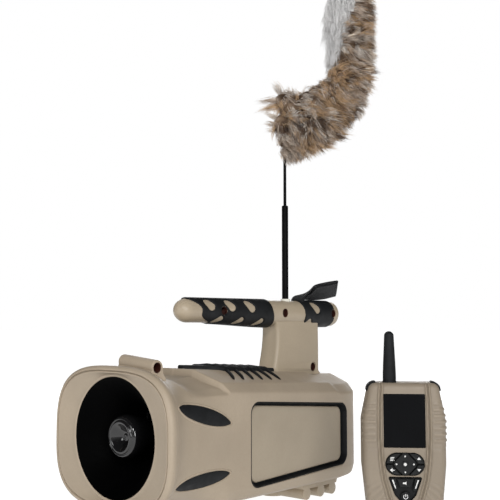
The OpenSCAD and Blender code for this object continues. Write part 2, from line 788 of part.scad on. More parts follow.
shell_right();
shell_left();
front_bezel();
horn_bell();
horn_reflector();
driver_magnet();
driver_bracket();
side_panel_right();
side_panel_left();
panel_gasket_right();
panel_gasket_left();
oval_inlays();
deck_pad();
rear_panel();
battery_door();
volume_knob();
power_button();
status_light();
speaker_jack();
circuit_board();
battery_tray();
batteries();
handle_right();
handle_left();
grip_front();
grip_rear();
case_screws();
wrist_strap();
port_cover();
charge_port();
decoy_motor();
motor_pinion();
decoy_spindle();
spindle_bearings();
decoy_rod();
decoy_wire();
decoy_fur();
tripod_bracket();
tripod_insert();
front_feet();
remote_front();
remote_back();
remote_bumpers();
remote_side_strips();
remote_screen();
remote_antenna();
remote_board();
remote_cells();
remote_battery_door();
key_menu();
key_back();
key_up();
key_down();
key_ring();
key_select();
key_left();
key_right();
key_mute();
key_power();
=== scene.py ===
import json
import math
from contextlib import contextmanager

import bmesh
import bpy
import numpy as np
from mathutils import Matrix, Vector

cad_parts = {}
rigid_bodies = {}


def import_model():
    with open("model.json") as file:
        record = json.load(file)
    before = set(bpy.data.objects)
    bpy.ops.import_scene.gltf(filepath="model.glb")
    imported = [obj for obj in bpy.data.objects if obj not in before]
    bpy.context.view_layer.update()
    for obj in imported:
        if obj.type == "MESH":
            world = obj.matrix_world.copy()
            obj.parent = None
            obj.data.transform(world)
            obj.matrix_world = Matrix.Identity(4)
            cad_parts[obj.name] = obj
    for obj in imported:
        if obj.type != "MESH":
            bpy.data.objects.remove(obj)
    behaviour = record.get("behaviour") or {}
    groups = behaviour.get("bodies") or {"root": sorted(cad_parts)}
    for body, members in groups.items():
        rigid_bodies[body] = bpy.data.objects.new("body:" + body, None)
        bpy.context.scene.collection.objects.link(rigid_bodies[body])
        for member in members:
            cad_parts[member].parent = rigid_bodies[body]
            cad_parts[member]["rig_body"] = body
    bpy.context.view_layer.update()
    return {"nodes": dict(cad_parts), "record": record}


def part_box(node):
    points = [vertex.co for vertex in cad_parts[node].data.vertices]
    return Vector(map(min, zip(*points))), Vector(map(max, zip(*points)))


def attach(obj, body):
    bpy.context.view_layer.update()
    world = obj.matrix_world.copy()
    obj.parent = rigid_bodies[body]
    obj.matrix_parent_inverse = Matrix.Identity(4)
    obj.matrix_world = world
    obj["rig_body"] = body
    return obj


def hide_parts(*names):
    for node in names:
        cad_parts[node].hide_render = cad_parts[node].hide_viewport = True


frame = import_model()
record = frame["record"]
slot_of = {part["node"]: part["material_slot"] for part in record["subparts"]}
base_colour = {m["slot"]: m["base_color"] for m in record["materials"]}
MM = 0.001
WELD = 0.001  # mm
WHITE = (1, 1, 1, 1)
rng = np.random.default_rng(11)


# ---- the frame's driving sizes, in mm

def box_mm(node):
    low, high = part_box(node)
    return np.array(low) / MM, np.array(high) / MM


bezel_low = box_mm("front_bezel")[0]
shell_low, shell_high = box_mm("shell_right")
bell_low, bell_high = box_mm("horn_bell")
pad_low = box_mm("deck_pad")[0]
handle_low, handle_high = box_mm("handle_right")
grip_low, grip_high = box_mm("grip_front")
rod_low, rod_high = box_mm("decoy_rod")
panel_low, panel_high = box_mm("side_panel_right")
gasket_low, gasket_high = box_mm("panel_gasket_right")
recess_low, recess_high = box_mm("rear_panel")

MOUTH_Y = bezel_low[1]
BEZEL_W = -bezel_low[0]
BEZEL_BACK = shell_low[1]
HORN_Z = (bell_low[2] + bell_high[2]) / 2
BEZEL_H = HORN_Z - bezel_low[2]
CASE_BOTTOM = shell_low[2] - 3.5
REAR_Y = shell_high[1]
CASE_W = BEZEL_W - 16
NECK = 26  # from the front plate back to the narrowest section
BODY_Y = MOUTH_Y + 82
ROUND_Y = 34
REAR_ROUND = 28
DECK_HALF = 26
MIDDLE_Z = 80
WALL = 2.8
SEAM = 0.06  # half the gap between the two halves
HORN_DEPTH = 95
BEZEL_STEPS = 160
ARC_POINTS = 4  # within each fillet of the case's section
HANDLE_Z = (grip_low[2] + grip_high[2]) / 2
HANDLE_R = (grip_high[2] - grip_low[2]) / 2 - 1.4
SPINDLE_Y = (rod_low[1] + rod_high[1]) / 2


def deck_z(y):
    return 152 - 16 * (y - BODY_Y) / (REAR_Y - BODY_Y)


def crease_z(y):
    return 131 - 14 * (y - BODY_Y) / (REAR_Y - BODY_Y)


# ---- mesh helpers

def grid_faces(rows, cols, wrap=False):
    return [(r * cols + c, r * cols + (c + 1) % cols,
             (r + 1) * cols + (c + 1) % cols, (r + 1) * cols + c)
            for r in range(rows - 1) for c in range(cols if wrap else cols - 1)]


def loft(rings, ends="capped"):
    """Vertices and faces of a tube through closed rings. Its ends are capped, open or joined."""
    rings = np.asarray(rings, float)
    count, size = rings.shape[:2]
    verts, faces = rings.reshape(-1, 3), grid_faces(count, size, wrap=True)
    last = (count - 1) * size
    if ends == "capped":
        for ring, first in ((0, 0), (-1, last)):
            faces += [(first + i, first + (i + 1) % size, len(verts)) for i in range(size)]
            verts = np.vstack([verts, rings[ring].mean(0)])
    elif ends == "joined":
        faces += [(last + i, last + (i + 1) % size, (i + 1) % size, i) for i in range(size)]
    return verts, faces


def revolve(profile, steps, axis="z", place=(0, 0, 0), ends="capped"):
    """Turns (radius, height) points about an axis through place."""
    rings = []
    for radius, height in profile:
        ring = []
        for i in range(steps):
            a = 2 * math.pi * i / steps
            u, v = radius * math.cos(a), radius * math.sin(a)
            ring.append({"z": (u, v, height), "y": (u, height, v), "x": (height, u, v)}[axis])
        rings.append(ring)
    return loft(np.array(rings) + np.array(place), ends)


def merge(*shapes):
    """Joins several (vertices, faces) pairs into one."""
    verts, faces, count = [], [], 0
    for v, f in shapes:
        verts.append(np.asarray(v, float))
        faces += [tuple(i + count for i in face) for face in f]
        count += len(v)
    return np.vstack(verts), faces


def unit(vectors):
    return vectors / np.linalg.norm(vectors, axis=-1, keepdims=True)


def compact(verts, faces):
    """The same shape without the vertices that no face uses."""
    used = sorted({i for f in faces for i in f})
    index = {old: new for new, old in enumerate(used)}
    return verts[used], [tuple(index[i] for i in f) for f in faces]


def at_x(x, outline):
    return [(x, y, z) for y, z in outline]


def at_y(y, outline):
    return [(x, y, z) for x, z in outline]


def mirrored(shape):
    verts, faces = shape
    return np.asarray(verts) * [-1, 1, 1], [tuple(reversed(f)) for f in faces]


def linked(name, data):
    obj = bpy.data.objects.new(name, data)
    bpy.context.scene.collection.objects.link(obj)
    return obj


@contextmanager
def editing(mesh):
    bm = bmesh.new()
    bm.from_mesh(mesh)
    yield bm
    bm.to_mesh(mesh)
    bm.free()


def make_object(name, verts, faces, closed=True, weld=WELD):
    mesh = bpy.data.meshes.new(name)
    mesh.from_pydata((np.asarray(verts, float) * MM).tolist(), [], [list(f) for f in faces])
    with editing(mesh) as bm:
        if weld:
            bmesh.ops.remove_doubles(bm, verts=bm.verts, dist=weld * MM)
            bmesh.ops.dissolve_degenerate(bm, edges=bm.edges, dist=weld * MM)
        if closed:
            bmesh.ops.recalc_face_normals(bm, faces=bm.faces)
    return linked(name, mesh)


def finish_piece(obj, body, slot, nodes=(), sharp=38, material=None):
    """Shades a mesh, gives it its slot's material, and hangs it on its body."""
    obj.data.shade_smooth()
    obj.data.set_sharp_from_angle(angle=math.radians(sharp))
    obj.data.materials.clear()
    obj.data.materials.append(material or materials[slot])
    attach(obj, body)
    if nodes:
        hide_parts(*nodes)
    return obj


def piece(name, shape, body, slot, nodes=(), sharp=38, weld=WELD, material=None):
    return finish_piece(make_object(name, *shape, weld=weld), body, slot, nodes, sharp, material)


def apply_modifiers(obj):
    evaluated = obj.evaluated_get(bpy.context.evaluated_depsgraph_get())
    mesh = bpy.data.meshes.new_from_object(evaluated)
    obj.modifiers.clear()
    old, obj.data = obj.data, mesh
    bpy.data.meshes.remove(old)


def boolean(obj, shape, operation="DIFFERENCE"):
    """Cuts or joins obj with a closed shape, which is then removed."""
    tool = make_object("tool", *shape)
    modifier = obj.modifiers.new("cut", "BOOLEAN")
    modifier.operation = operation
    modifier.solver = "EXACT"
    modifier.object = tool
    apply_modifiers(obj)
    bpy.data.objects.remove(tool)


def softened(node, width, segments=2):
    """A new piece with the node's own shape and rounded edges, which replaces it."""
    obj = linked(node + "_skin", frame["nodes"][node].data.copy())
    with editing(obj.data) as bm:
        bmesh.ops.remove_doubles(bm, verts=bm.verts, dist=2 * WELD * MM)
        bmesh.ops.dissolve_limit(bm, angle_limit=math.radians(0.7), verts=bm.verts, edges=bm.edges)
    modifier = obj.modifiers.new("bevel", "BEVEL")
    modifier.width = width * MM
    modifier.segments = segments
    modifier.limit_method = "ANGLE"
    modifier.angle_limit = math.radians(35)
    modifier.use_clamp_overlap = True
    apply_modifiers(obj)
    return finish_piece(obj, frame["nodes"][node]["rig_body"], slot_of[node], [node])


def rounded_outline(centres, radius, arc=8):
    """Outline round the same circle set at each centre, which go round anticlockwise."""
    centres = np.asarray(centres, float)
    points = []
    for c, before, after in zip(centres, np.roll(centres, 1, 0), np.roll(centres, -1, 0)):
        a0, a1 = (math.atan2(d[1], d[0]) - math.pi / 2 for d in (c - before, after - c))
        while a1 < a0:
            a1 += 2 * math.pi
        points += [(c[0] + radius * math.cos(a), c[1] + radius * math.sin(a))
                   for a in np.linspace(a0, a1, arc + 1)]
    return np.array(points)


def circle(x, z, r, steps=40):
    a = np.linspace(0, 2 * math.pi, steps, endpoint=False)
    return np.stack([x + r * np.cos(a), z + r * np.sin(a)], axis=1)


def rect(x, z, half_x, half_z, r, arc=5):
    centres = [(x - half_x + r, z - half_z + r), (x + half_x - r, z - half_z + r),
               (x + half_x - r, z + half_z - r), (x - half_x + r, z + half_z - r)]
    return rounded_outline(centres, r, arc)


def shrunk(outline, k):
    centre = outline.mean(0)
    return centre + (outline - centre) * k


def drawn_in(outline, inset):
    """The outline with each point moved by inset toward the middle."""
    centre = outline.mean(0)
    toward = outline - centre
    reach = np.linalg.norm(toward, axis=1)[:, None]
    return centre + toward * np.clip(1 - inset / reach, 0.2, 1)


def resampled(points, count, closed=True):
    """The same line with evenly spaced points."""
    points = np.asarray(points, float)
    if closed:
        points = np.vstack([points, points[:1]])
    steps = np.r_[0, np.cumsum(np.linalg.norm(np.diff(points, axis=0), axis=1))]
    at = np.linspace(0, steps[-1], count + 1 if closed else count)
    if closed:
        at = at[:-1]
    return np.stack([np.interp(at, steps, points[:, k]) for k in range(points.shape[1])], axis=1)


def smooth_step(x, low=0.0, high=1.0):
    t = np.clip((np.asarray(x, float) - low) / (high - low), 0, 1)
    return t * t * (3 - 2 * t)


def edge_distance(points, outline):
    """Distance of each point from a closed outline, positive inside."""
    a = np.asarray(outline, float)
    b = np.roll(a, -1, axis=0)
    nearest = np.full(len(points), 1e9)
    inside = np.zeros(len(points), bool)
    for p, q in zip(a, b):
        d = q - p
        t = np.clip(((points - p) @ d) / max(d @ d, 1e-12), 0, 1)
        nearest = np.minimum(nearest, np.linalg.norm(points - p - t[:, None] * d, axis=1))
        crosses = (p[1] > points[:, 1]) != (q[1] > points[:, 1])
        if abs(d[1]) > 1e-12:
            inside ^= crosses & (points[:, 0] < p[0] + (points[:, 1] - p[1]) * d[0] / d[1])
    return np.where(inside, nearest, -nearest)


def sweep(path, across, up, profile, taper=None):
    """Runs a closed (sideways, up) profile along a path, with its own frame at each point."""
    taper = np.ones(len(path)) if taper is None else taper
    return loft([[p + a * u * k + b * v * k for u, v in profile]
                 for p, a, b, k in zip(path, across, up, taper)])


# ---- materials

class Nodes:
    """The node tree of a material or a world, with a short way to add and link nodes."""

    INPUTS = {"color": "Base Color", "rough": "Roughness", "normal": "Normal",
              "metal": "Metallic", "specular": "Specular IOR Level", "coat": "Coat Weight",
              "coat_rough": "Coat Roughness", "sheen": "Sheen Weight",
              "sheen_rough": "Sheen Roughness", "emit": "Emission Strength"}

    def __init__(self, name, owner=None):
        self.owner = owner or bpy.data.materials.new(name)
        self.owner.use_nodes = True
        self.tree = self.owner.node_tree
        self.places = self.add("ShaderNodeTexCoord").outputs
        self.place = self.places["Object"]

    def feed(self, socket, value):
        """Links a node's input to another node, or sets its value."""
        if isinstance(value, bpy.types.NodeSocket):
            self.tree.links.new(value, socket)
        else:
            socket.default_value = value

    def add(self, kind, inputs=(), **settings):
        node = self.tree.nodes.new(kind)
        for key, value in settings.items():
            setattr(node, key, value)
        for key, value in dict(inputs).items():
            self.feed(node.inputs[key], value)
        return node

    def noise(self, scale, detail=3, rough=0.5, place=None):
        return self.add("ShaderNodeTexNoise", {
            "Vector": place or self.place, "Scale": scale, "Detail": detail, "Roughness": rough,
        }).outputs["Fac"]

    def ramp(self, value, stops):
        """Colours or grey levels along a value, as (position, colour) pairs."""
        ramp = self.add("ShaderNodeValToRGB", {"Fac": value})
        elements = ramp.color_ramp.elements
        while len(elements) < len(stops):
            elements.new(0.5)
        for element, (position, colour) in zip(elements, stops):
            element.position = position
            colour = (colour,) * 3 if isinstance(colour, (int, float)) else colour
            element.color = (*colour, 1)
        return ramp.outputs["Color"]

    def mix(self, factor, a, b):
        a, b = (v if isinstance(v, bpy.types.NodeSocket) else (*v, 1) for v in (a, b))
        return self.add("ShaderNodeMix", {0: factor, 6: a, 7: b}, data_type="RGBA").outputs[2]

    def math(self, operation, *values):
        return self.add("ShaderNodeMath", dict(enumerate(values)), operation=operation).outputs[0]

    def bump(self, height, strength, distance, onto=None):
        inputs = {"Height": height, "Strength": strength, "Distance": distance * MM}
        if onto:
            inputs["Normal"] = onto
        return self.add("ShaderNodeBump", inputs).outputs["Normal"]

    def set(self, **values):
        """Feeds the shader's inputs."""
        for key, value in values.items():
            self.feed(self.tree.nodes["Principled BSDF"].inputs[self.INPUTS[key]], value)
        return self.owner


def scaled(colour, k):
    return tuple(min(1.0, c * k) for c in colour)


def moulded(name, colour, rough=0.5, grain=0.35, edge=0.22, tone=0.07):
    """Moulded plastic: fine spark-eroded grain, slow tone changes, painted shade in hollows, edges
    rubbed lighter and painted with a highlight.
    """
    n = Nodes(name)
    slow = n.noise(16, 4)
    body = n.ramp(slow, [(0.3, scaled(colour, 1 - tone)), (0.7, scaled(colour, 1 + tone))])
    body = n.mix(n.ramp(n.noise(420, 2), [(0.35, 0.0), (0.75, 0.22)]), body, scaled(colour, 0.82))
    bend = n.add("ShaderNodeNewGeometry").outputs["Pointiness"]
    # painted shade: hollows and creases (low pointiness) darken towards 45% of the colour
    painted_hollow_shade = n.math("MULTIPLY", n.ramp(bend, [(0.44, 0.55), (0.5, 0.0), (0.56, 0.0)]), 0.6)
    body = n.mix(painted_hollow_shade, body, scaled(colour, 0.45))
    # partly wear, partly painted highlight: convex edges (high pointiness) lighten towards 145% of
    # the colour, as strongly as edge sets
    edge_wear_and_highlight = n.math("MULTIPLY", n.ramp(bend, [(0.515, 0.0), (0.6, 1.0)]), edge * 2)
    body = n.mix(edge_wear_and_highlight, body, scaled(colour, 1.45))
    gloss = n.ramp(n.noise(60, 3), [(0.3, rough - 0.05), (0.7, rough + 0.06)])
    skin = n.bump(slow, 0.12, 0.5, onto=n.bump(n.noise(1900, 2, 0.6), grain, 0.12))
    return n.set(color=body, rough=gloss, normal=skin, specular=0.42)


def mottled(name, colour, rough, tone, gloss, skin=None, **settings):
    """A surface of wandering tone and gloss. Each is a noise and two stops; skin is the bump's
    noise, strength and depth."""
    n = Nodes(name)
    body = n.ramp(n.noise(*tone[0]), [(at, scaled(colour, k)) for at, k in tone[1:]])
    shine = n.ramp(n.noise(*gloss[0]), [(at, rough + k) for at, k in gloss[1:]])
    if skin:
        settings["normal"] = n.bump(n.noise(*skin[0]), *skin[1:])
    return n.set(color=body, rough=shine, **settings)


def rubber(name, colour, rough=0.62, grain=0.5):
    """Soft rubber: slightly dusty, with a fine stipple."""
    return mottled(name, colour, rough, ((45, 5, 0.6), (0.35, 0.3), (0.75, 0.6)),
                   ((120, 3), (0.3, -0.08), (0.7, 0.08)), ((1500, 2, 0.7), grain, 0.1),
                   specular=0.2)


def gloss_plastic(name, colour, rough=0.16, specular=0.5):
    """Polished dark moulding with faint swirl marks and a little dust."""
    return mottled(name, colour, rough, ((30, 4), (0.3, 0.8), (0.75, 1.5)),
                   ((240, 4), (0.3, -0.04), (0.75, 0.1)), ((500, 2), 0.04, 0.05),
                   specular=specular)


def metal(name, colour, rough=0.32):
    """Machined metal with fine marks drawn along one direction."""
    n = Nodes(name)
    mapped = n.add("ShaderNodeMapping", {"Vector": n.place, "Scale": (1, 1, 40)})
    lines = n.noise(90, 3, place=mapped.outputs["Vector"])
    body = n.ramp(lines, [(0.3, scaled(colour, 0.85)), (0.7, scaled(colour, 1.1))])
    gloss = n.ramp(lines, [(0.3, rough - 0.08), (0.7, rough + 0.1)])
    return n.set(color=body, rough=gloss, normal=n.bump(lines, 0.08, 0.05), metal=1.0)


def woven(name, colour):
    """Woven nylon: two sets of fine ribs at right angles, with a fibre fuzz."""
    n = Nodes(name)
    waves = [n.add("ShaderNodeTexWave", {
        "Vector": n.place, "Scale": scale, "Distortion": 0.6, "Detail": 1.0,
    }, wave_type="BANDS", bands_direction=direction).outputs["Fac"]
        for direction, scale in (("X", 900), ("Y", 700), ("Z", 700))]
    weave = n.math("MULTIPLY", n.math("ADD", waves[1], waves[2]), waves[0])
    body = n.ramp(weave, [(0.2, scaled(colour, 0.35)), (0.9, scaled(colour, 1.3))])
    skin = n.bump(n.noise(1600, 3), 0.3, 0.1, onto=n.bump(weave, 0.6, 0.25))
    return n.set(color=body, rough=0.72, normal=skin, sheen=0.08, sheen_rough=0.4,
                 specular=0.25)


def board(name, colour):
    """Printed board with etched tracks."""
    n = Nodes(name)
    tracks = n.add("ShaderNodeTexVoronoi", {"Vector": n.place, "Scale": 260.0},
                   distance="MANHATTAN").outputs["Distance"]
    body = n.ramp(tracks, [(0.28, scaled(colour, 1.8)), (0.36, scaled(colour, 0.8))])
    return n.set(color=body, rough=0.35, normal=n.bump(tracks, 0.2, 0.05), specular=0.5)


def cell(name, colour):
    """Battery wrap with a dark band."""
    n = Nodes(name)
    body = n.ramp(n.noise(25, 2), [(0.45, colour), (0.5, scaled(colour, 0.3))])
    return n.set(color=body, rough=0.3, normal=n.bump(n.noise(300, 2), 0.05, 0.05))


def lens(name, colour, rough=0.08, coat=0.6):
    """Clear cover with a few smudges."""
    return mottled(name, colour, rough, ((60, 2), (0.3, 0.8), (0.7, 1.2)),
                   ((70, 5), (0.4, 0.0), (0.8, 0.12)), coat=coat, coat_rough=0.05, specular=0.08)


def fur_material(name, root, middle, tip):
    """Hair coloured along its length, each hair with its own tone."""
    n = Nodes(name)
    along = n.add("ShaderNodeAttribute", attribute_name="along").outputs["Fac"]
    tint = n.add("ShaderNodeAttribute", attribute_name="tint").outputs["Fac"]
    body = n.ramp(along, [(0.0, root), (0.35, middle), (0.78, middle), (1.0, tip)])
    body = n.mix(n.ramp(tint, [(0.0, 0.0), (1.0, 0.55)]), body, scaled(root, 0.7))
    streak = n.ramp(n.noise(55, 3), [(0.4, 0.0), (0.7, 0.45)])
    body = n.mix(streak, body, scaled(middle, 1.35))
    return n.set(color=body, rough=0.62, sheen=0.15, sheen_rough=0.5, specular=0.25)


# For each slot: its kind, the share of the record's colour that it keeps, and its settings
LOOKS = {
    "tan_case": (moulded, 1, {}),
    "tan_handle": (moulded, 1, {"rough": 0.36}),
    "panel_tan": (moulded, 1, {"grain": 0.2}),
    # the remote's edges get a stronger painted highlight and wear
    "tan_remote": (moulded, 0.66, {"rough": 0.48, "edge": 0.4}),
    "black_rubber": (rubber, 1, {}),
    "remote_rubber": (moulded, 0.62, {"rough": 0.6}),
    "key_rubber": (rubber, 1, {"rough": 0.4, "grain": 0.2}),
    # the horn keeps 8% of its colour: black plastic, darkened further as painted shade deep inside
    # the horn
    "horn_black": (gloss_plastic, 0.08, {"rough": 0.5, "specular": 0.02}),
    "reflector_black": (gloss_plastic, 0.4, {"rough": 0.09, "specular": 0.7}),
    "black_plastic": (moulded, 1, {"edge": 0.1, "tone": 0.2}),
    "button_red": (gloss_plastic, 1, {"rough": 0.25}),
    "light_green": (lens, 1, {}),
    "steel": (metal, 1, {}),
    "brass": (metal, 1, {"rough": 0.3}),
    "screw_dark": (metal, 1, {"rough": 0.4}),
    "board_green": (board, 1, {}),
    "cell_wrap": (cell, 1, {}),
    "webbing": (woven, 1, {}),
    "gear_plastic": (moulded, 1, {"rough": 0.4, "tone": 0.04}),
    "rod_black": (gloss_plastic, 0.15, {"rough": 0.4, "specular": 0.06}),
    "fur": (rubber, 1, {"rough": 0.9}),
    "screen": (lens, 0.12, {"rough": 0.2, "coat": 0.0}),
}


def look(slot):
    """The slot's material. The record's tans are a little yellower under white lamps."""
    maker, share, settings = LOOKS[slot]
    colour = base_colour[slot]
    if slot in ("tan_case", "tan_handle", "panel_tan", "tan_remote", "remote_rubber"):
        colour = np.multiply(colour[:3], (0.97, 0.955, 0.86))
    return maker(slot, scaled(colour, share), **settings)


materials = {slot: look(slot) for slot in LOOKS}
for node, obj in frame["nodes"].items():
    obj.data.materials.clear()
    obj.data.materials.append(materials[slot_of[node]])


# ---- the case

def fillet_path(corners, radii, counts):
    """Open line through corners, with each inner corner rounded, as a fixed number of points."""
    corners = np.asarray(corners, float)
    ends, arcs = [corners[0]], []
    for before, corner, after, radius in zip(corners, corners[1:], corners[2:], radii):
        a, b = unit(before - corner), unit(after - corner)
        reach = radius / math.tan(math.acos(float(a @ b)) / 2)
        p, q = corner + a * reach, corner + b * reach
        ends += [p, q]
        arcs.append([(1 - t) ** 2 * p + 2 * t * (1 - t) * corner + t * t * q
                     for t in np.linspace(0, 1, ARC_POINTS + 2)[1:-1]])
    ends.append(corners[-1])
    points = []
    for p, q, count, arc in zip(ends[::2], ends[1::2], counts, arcs + [[]]):
        points += [p + (q - p) * t for t in np.linspace(0, 1, count)] + arc
    return np.array(points)


SECTION_COUNTS = [13, 14, 4, 40, 4, 4, 20]  # points on each side of the section


def body_section(y):
    """Half of the case's cross-section from the top seam round to the bottom seam, as x and z."""
    deck, crease = deck_z(y), crease_z(y)
    corners = [(SEAM, deck), (DECK_HALF, deck), (CASE_W - 11, crease + 9), (CASE_W, crease - 0.5),
               (CASE_W, CASE_BOTTOM + 14), (CASE_W - 4, CASE_BOTTOM + 4),
               (CASE_W - 14, CASE_BOTTOM), (SEAM, CASE_BOTTOM)]
    return fillet_path(corners, [7, 4, 5, 9, 5, 7], SECTION_COUNTS)


def ray_squircle(directions, half_w, half_h, power):
    """Where rays from the centre meet a superellipse."""
    reach = (np.abs(directions[:, 0] / half_w) ** power
             + np.abs(directions[:, 1] / half_h) ** power) ** (-1 / power)
    return directions * reach[:, None]


def front_sections():
    """The neck's two superellipse sections, matched point for point with the body's section."""
    body = body_section(BODY_Y)
    rays = unit(body - [0, HORN_Z - 4.5])
    mouth = ray_squircle(rays, 80, 67, 3.0) + [0, HORN_Z]
    neck = ray_squircle(rays, 73, 62.5, 3.4) + [0, HORN_Z - 4.5]
    return mouth, neck, body


def case_rows():
    """The right half of the case's skin as a grid of points, front to rear."""
    mouth, neck, body = front_sections()
    ridge = BODY_Y - 5 + 13 * (np.abs(body[:, 0]) / CASE_W) ** 1.5
    rows = []

    def row(xz, y):
        rows.append(np.column_stack([xz[:, 0], y + 0 * xz[:, 0], xz[:, 1]]))

    def sections(ys):
        return np.array([body_section(y)[i] for i, y in enumerate(ys)])

    for t in np.linspace(0, 1, 12):
        row(mouth + (neck - mouth) * (1 - (1 - t) ** 2.2), BEZEL_BACK + NECK * t)
    dip = smooth_step(neck[:, 1], 125, 140) * 4.5
    step = 8.0 * np.clip((body[:, 1] - 127) / 18, 0, 1) ** 0.7
    for t in np.linspace(0, 1, 20)[1:]:
        y = BEZEL_BACK + NECK + (ridge - BEZEL_BACK - NECK) * t
        goal = sections(y)
        goal[:, 1] -= step
        xz = neck + (goal - neck) * t ** 1.45
        xz[:, 1] -= dip * np.sin(math.pi * t) * (1 - t) * 1.6
        row(xz, y)
    for t in np.r_[0.004, 0.008, 0.012, 0.017, 0.024, np.linspace(0, 1, 70)[3:]]:
        y = ridge + (ROUND_Y - ridge) * t
        xz = sections(y)
        xz[:, 1] -= step * (1 - min(t / 0.012, 1) ** 0.6)
        row(xz, y)
    for a in np.linspace(0, math.pi / 2, 40)[1:]:
        y = ROUND_Y + (REAR_Y - ROUND_Y) * math.sin(a)
        xz = body_section(y)
        xz[:, 0] = np.maximum(xz[:, 0] * (1 - math.sin(a) ** (2 / 0.9)) ** 0.45, SEAM)
        into = max(y - REAR_Y + REAR_ROUND, 0)
        top = deck_z(REAR_Y) + 1 - REAR_ROUND + math.sqrt(max(REAR_ROUND ** 2 - into ** 2, 0))
        squeeze = min(1.0, (top - MIDDLE_Z) / (deck_z(y) - MIDDLE_Z))
        above = np.maximum(xz[:, 1] - MIDDLE_Z, 0)
        xz[:, 1] += above * (squeeze - 1)
        row(xz, y)
    rows = np.array(rows)
    rows[1:-1] = (rows[:-2] + 2 * rows[1:-1] + rows[2:]) / 4
    return rows


case_grid = case_rows()


def side_x(y, z):
    """The side wall's distance from the middle at a height and a place along the case."""
    flat = case_grid[:, 20:-24].reshape(-1, 3)
    apart = (flat[:, 1] - y) ** 2 + (flat[:, 2] - z) ** 2
    near = np.argsort(apart)[:6]
    weights = 1 / (apart[near] + 0.5)
    return float((flat[near, 0] * weights).sum() / weights.sum())


def top_z(x, y):
    """The deck's or shoulder's height."""
    upper = body_section(y)[: sum(SECTION_COUNTS[:2]) + 2 * ARC_POINTS]
    return float(np.interp(abs(x), upper[:, 0], upper[:, 1]))


def panel_outline(inset, trim=0.0):
    """Outline of the side pocket in y and z, narrower towards the rear."""
    front, rear = gasket_low[1] - 0.15 + inset, gasket_high[1] + 0.15 - inset
    low, high = gasket_low[2] - 0.15 + inset - trim, gasket_high[2] + 0.15 - inset + trim
    r = max(12 - inset * 0.55, 3)
    return rounded_outline([(front + r, low + r), (rear - r, low + 6 + r),
                            (rear - r, high - 11 - r), (front + r, high - r)], r, 12)


def pocket_cutter():
    """The side pocket's space, flared at the mouth so that the cut edge comes out rounded."""
    return loft([at_x(CASE_W + x, panel_outline(-grow)) for x, grow in (
        (-9.2, 0), (-0.9, 0), (-0.5, 0.12), (-0.2, 0.4), (0, 0.9), (0.6, 3.5), (6, 12))])


def recess_cutter():
    """The rear recess's space, with rounded corners."""
    low, high = recess_low[2] - 0.1, recess_high[2] + 0.1
    outline = rect(0, (low + high) / 2, recess_high[0] + 0.1, (high - low) / 2, 6, 6)
    return loft([at_y(y, outline) for y in (80, 130)])


def closed_half(grid, seam, pointed=False):
    """A solid from a grid of half sections: closed at the seam plane and at both ends."""
    rows, cols = grid.shape[:2]
    size, last_row = rows * cols, (rows - 1) * cols
    first, last, hub = size, size + 1, size + 2
    ys = grid[:, 0, 1]
    middles = [(seam, y, MIDDLE_Z) for y in (ys[0], ys[-1], ys.mean())]
    faces = grid_faces(rows, cols) + [(c, c + 1, first) for c in range(cols - 1)]
    loop = [*range(0, size, cols)]
    if pointed:
        loop += range(last_row + 1, size - 1)
    else:
        faces += [(c, c + 1, last) for c in range(last_row, size - 1)]
        loop.append(last)
    loop += [*range(size - 1, 0, -cols), first]
    faces += [(a, b, hub) for a, b in zip(loop, loop[1:] + loop[:1])]
    return compact(np.vstack([grid.reshape(-1, 3), middles]), faces)


def core_grid():
    """The case's inside, one wall thickness within its skin."""
    grid = case_grid[case_grid[:, 0, 1] < 90].copy()
    grid[0, :, 1] -= 3
    x = np.maximum(grid[:, :, 0] - WALL, -1)
    x = np.where(grid[:, :, 1] > gasket_low[1] - 8, np.minimum(x, CASE_W - 13), x)
    x[:, 0] = x[:, -1] = -1
    z = grid[:, :, 2] - MIDDLE_Z
    grid[:, :, 2] = MIDDLE_Z + z * np.clip(1 - WALL / (np.abs(z) + 0.01), 0.2, 1)
    grid[:, :, 0] = x
    return grid


def build_case():
    half = make_object("shell_right_skin", *closed_half(case_grid, SEAM, pointed=True))
    for cutter in (closed_half(core_grid(), -1), pocket_cutter(), recess_cutter()):
        boolean(half, cutter)
    other = linked("shell_left_skin", half.data.copy())
    other.data.transform(Matrix.Diagonal((-1, 1, 1, 1)))
    other.data.flip_normals()
    for obj, node in ((half, "shell_right"), (other, "shell_left")):
        finish_piece(obj, "caller", "tan_case", [node], sharp=30)


def build_side_panels():
    """The plates in the side pockets, with rolled edges, and the black linings round them."""
    face, mouth, floor = panel_high[0], gasket_high[0], CASE_W - 9
    panel = loft([at_x(x, panel_outline(inset, trim=2.0)) for x, inset in (
        (panel_low[0], 6.5), (face - 1.4, 6.5), (face - 0.7, 6.7), (face - 0.2, 7.3),
        (face, 8.2), (face, 12))])
    lining = loft([at_x(x, panel_outline(inset)) for x, inset in (
        (floor, 40), (floor, 3.2), (floor + 0.5, 2.2), (floor + 1.6, 1.7), (mouth - 0.5, 1.5),
        (mouth, 1.1), (mouth - 0.1, 0.3), (floor - 0.15, 0.3), (floor - 0.15, 40))])
    for side, turn in (("right", lambda shape: shape), ("left", mirrored)):
        for node, shape, slot in ((f"side_panel_{side}", panel, "panel_tan"),
                                  (f"panel_gasket_{side}", lining, "black_rubber")):
            piece(node + "_skin", turn(shape), "caller", slot, [node])


def oval_points(centre, tilt, length, height):
    """A pointed oval on the neck's side, in y and z."""
    turn = circle(0, 0, 1, 48)
    u = length / 2 * turn[:, 0]
    v = height / 2 * np.copysign(np.abs(turn[:, 1]) ** 1.3, turn[:, 1])
    c, s = math.cos(tilt), math.sin(tilt)
    return np.column_stack([u * c - v * s, u * s + v * c]) + centre


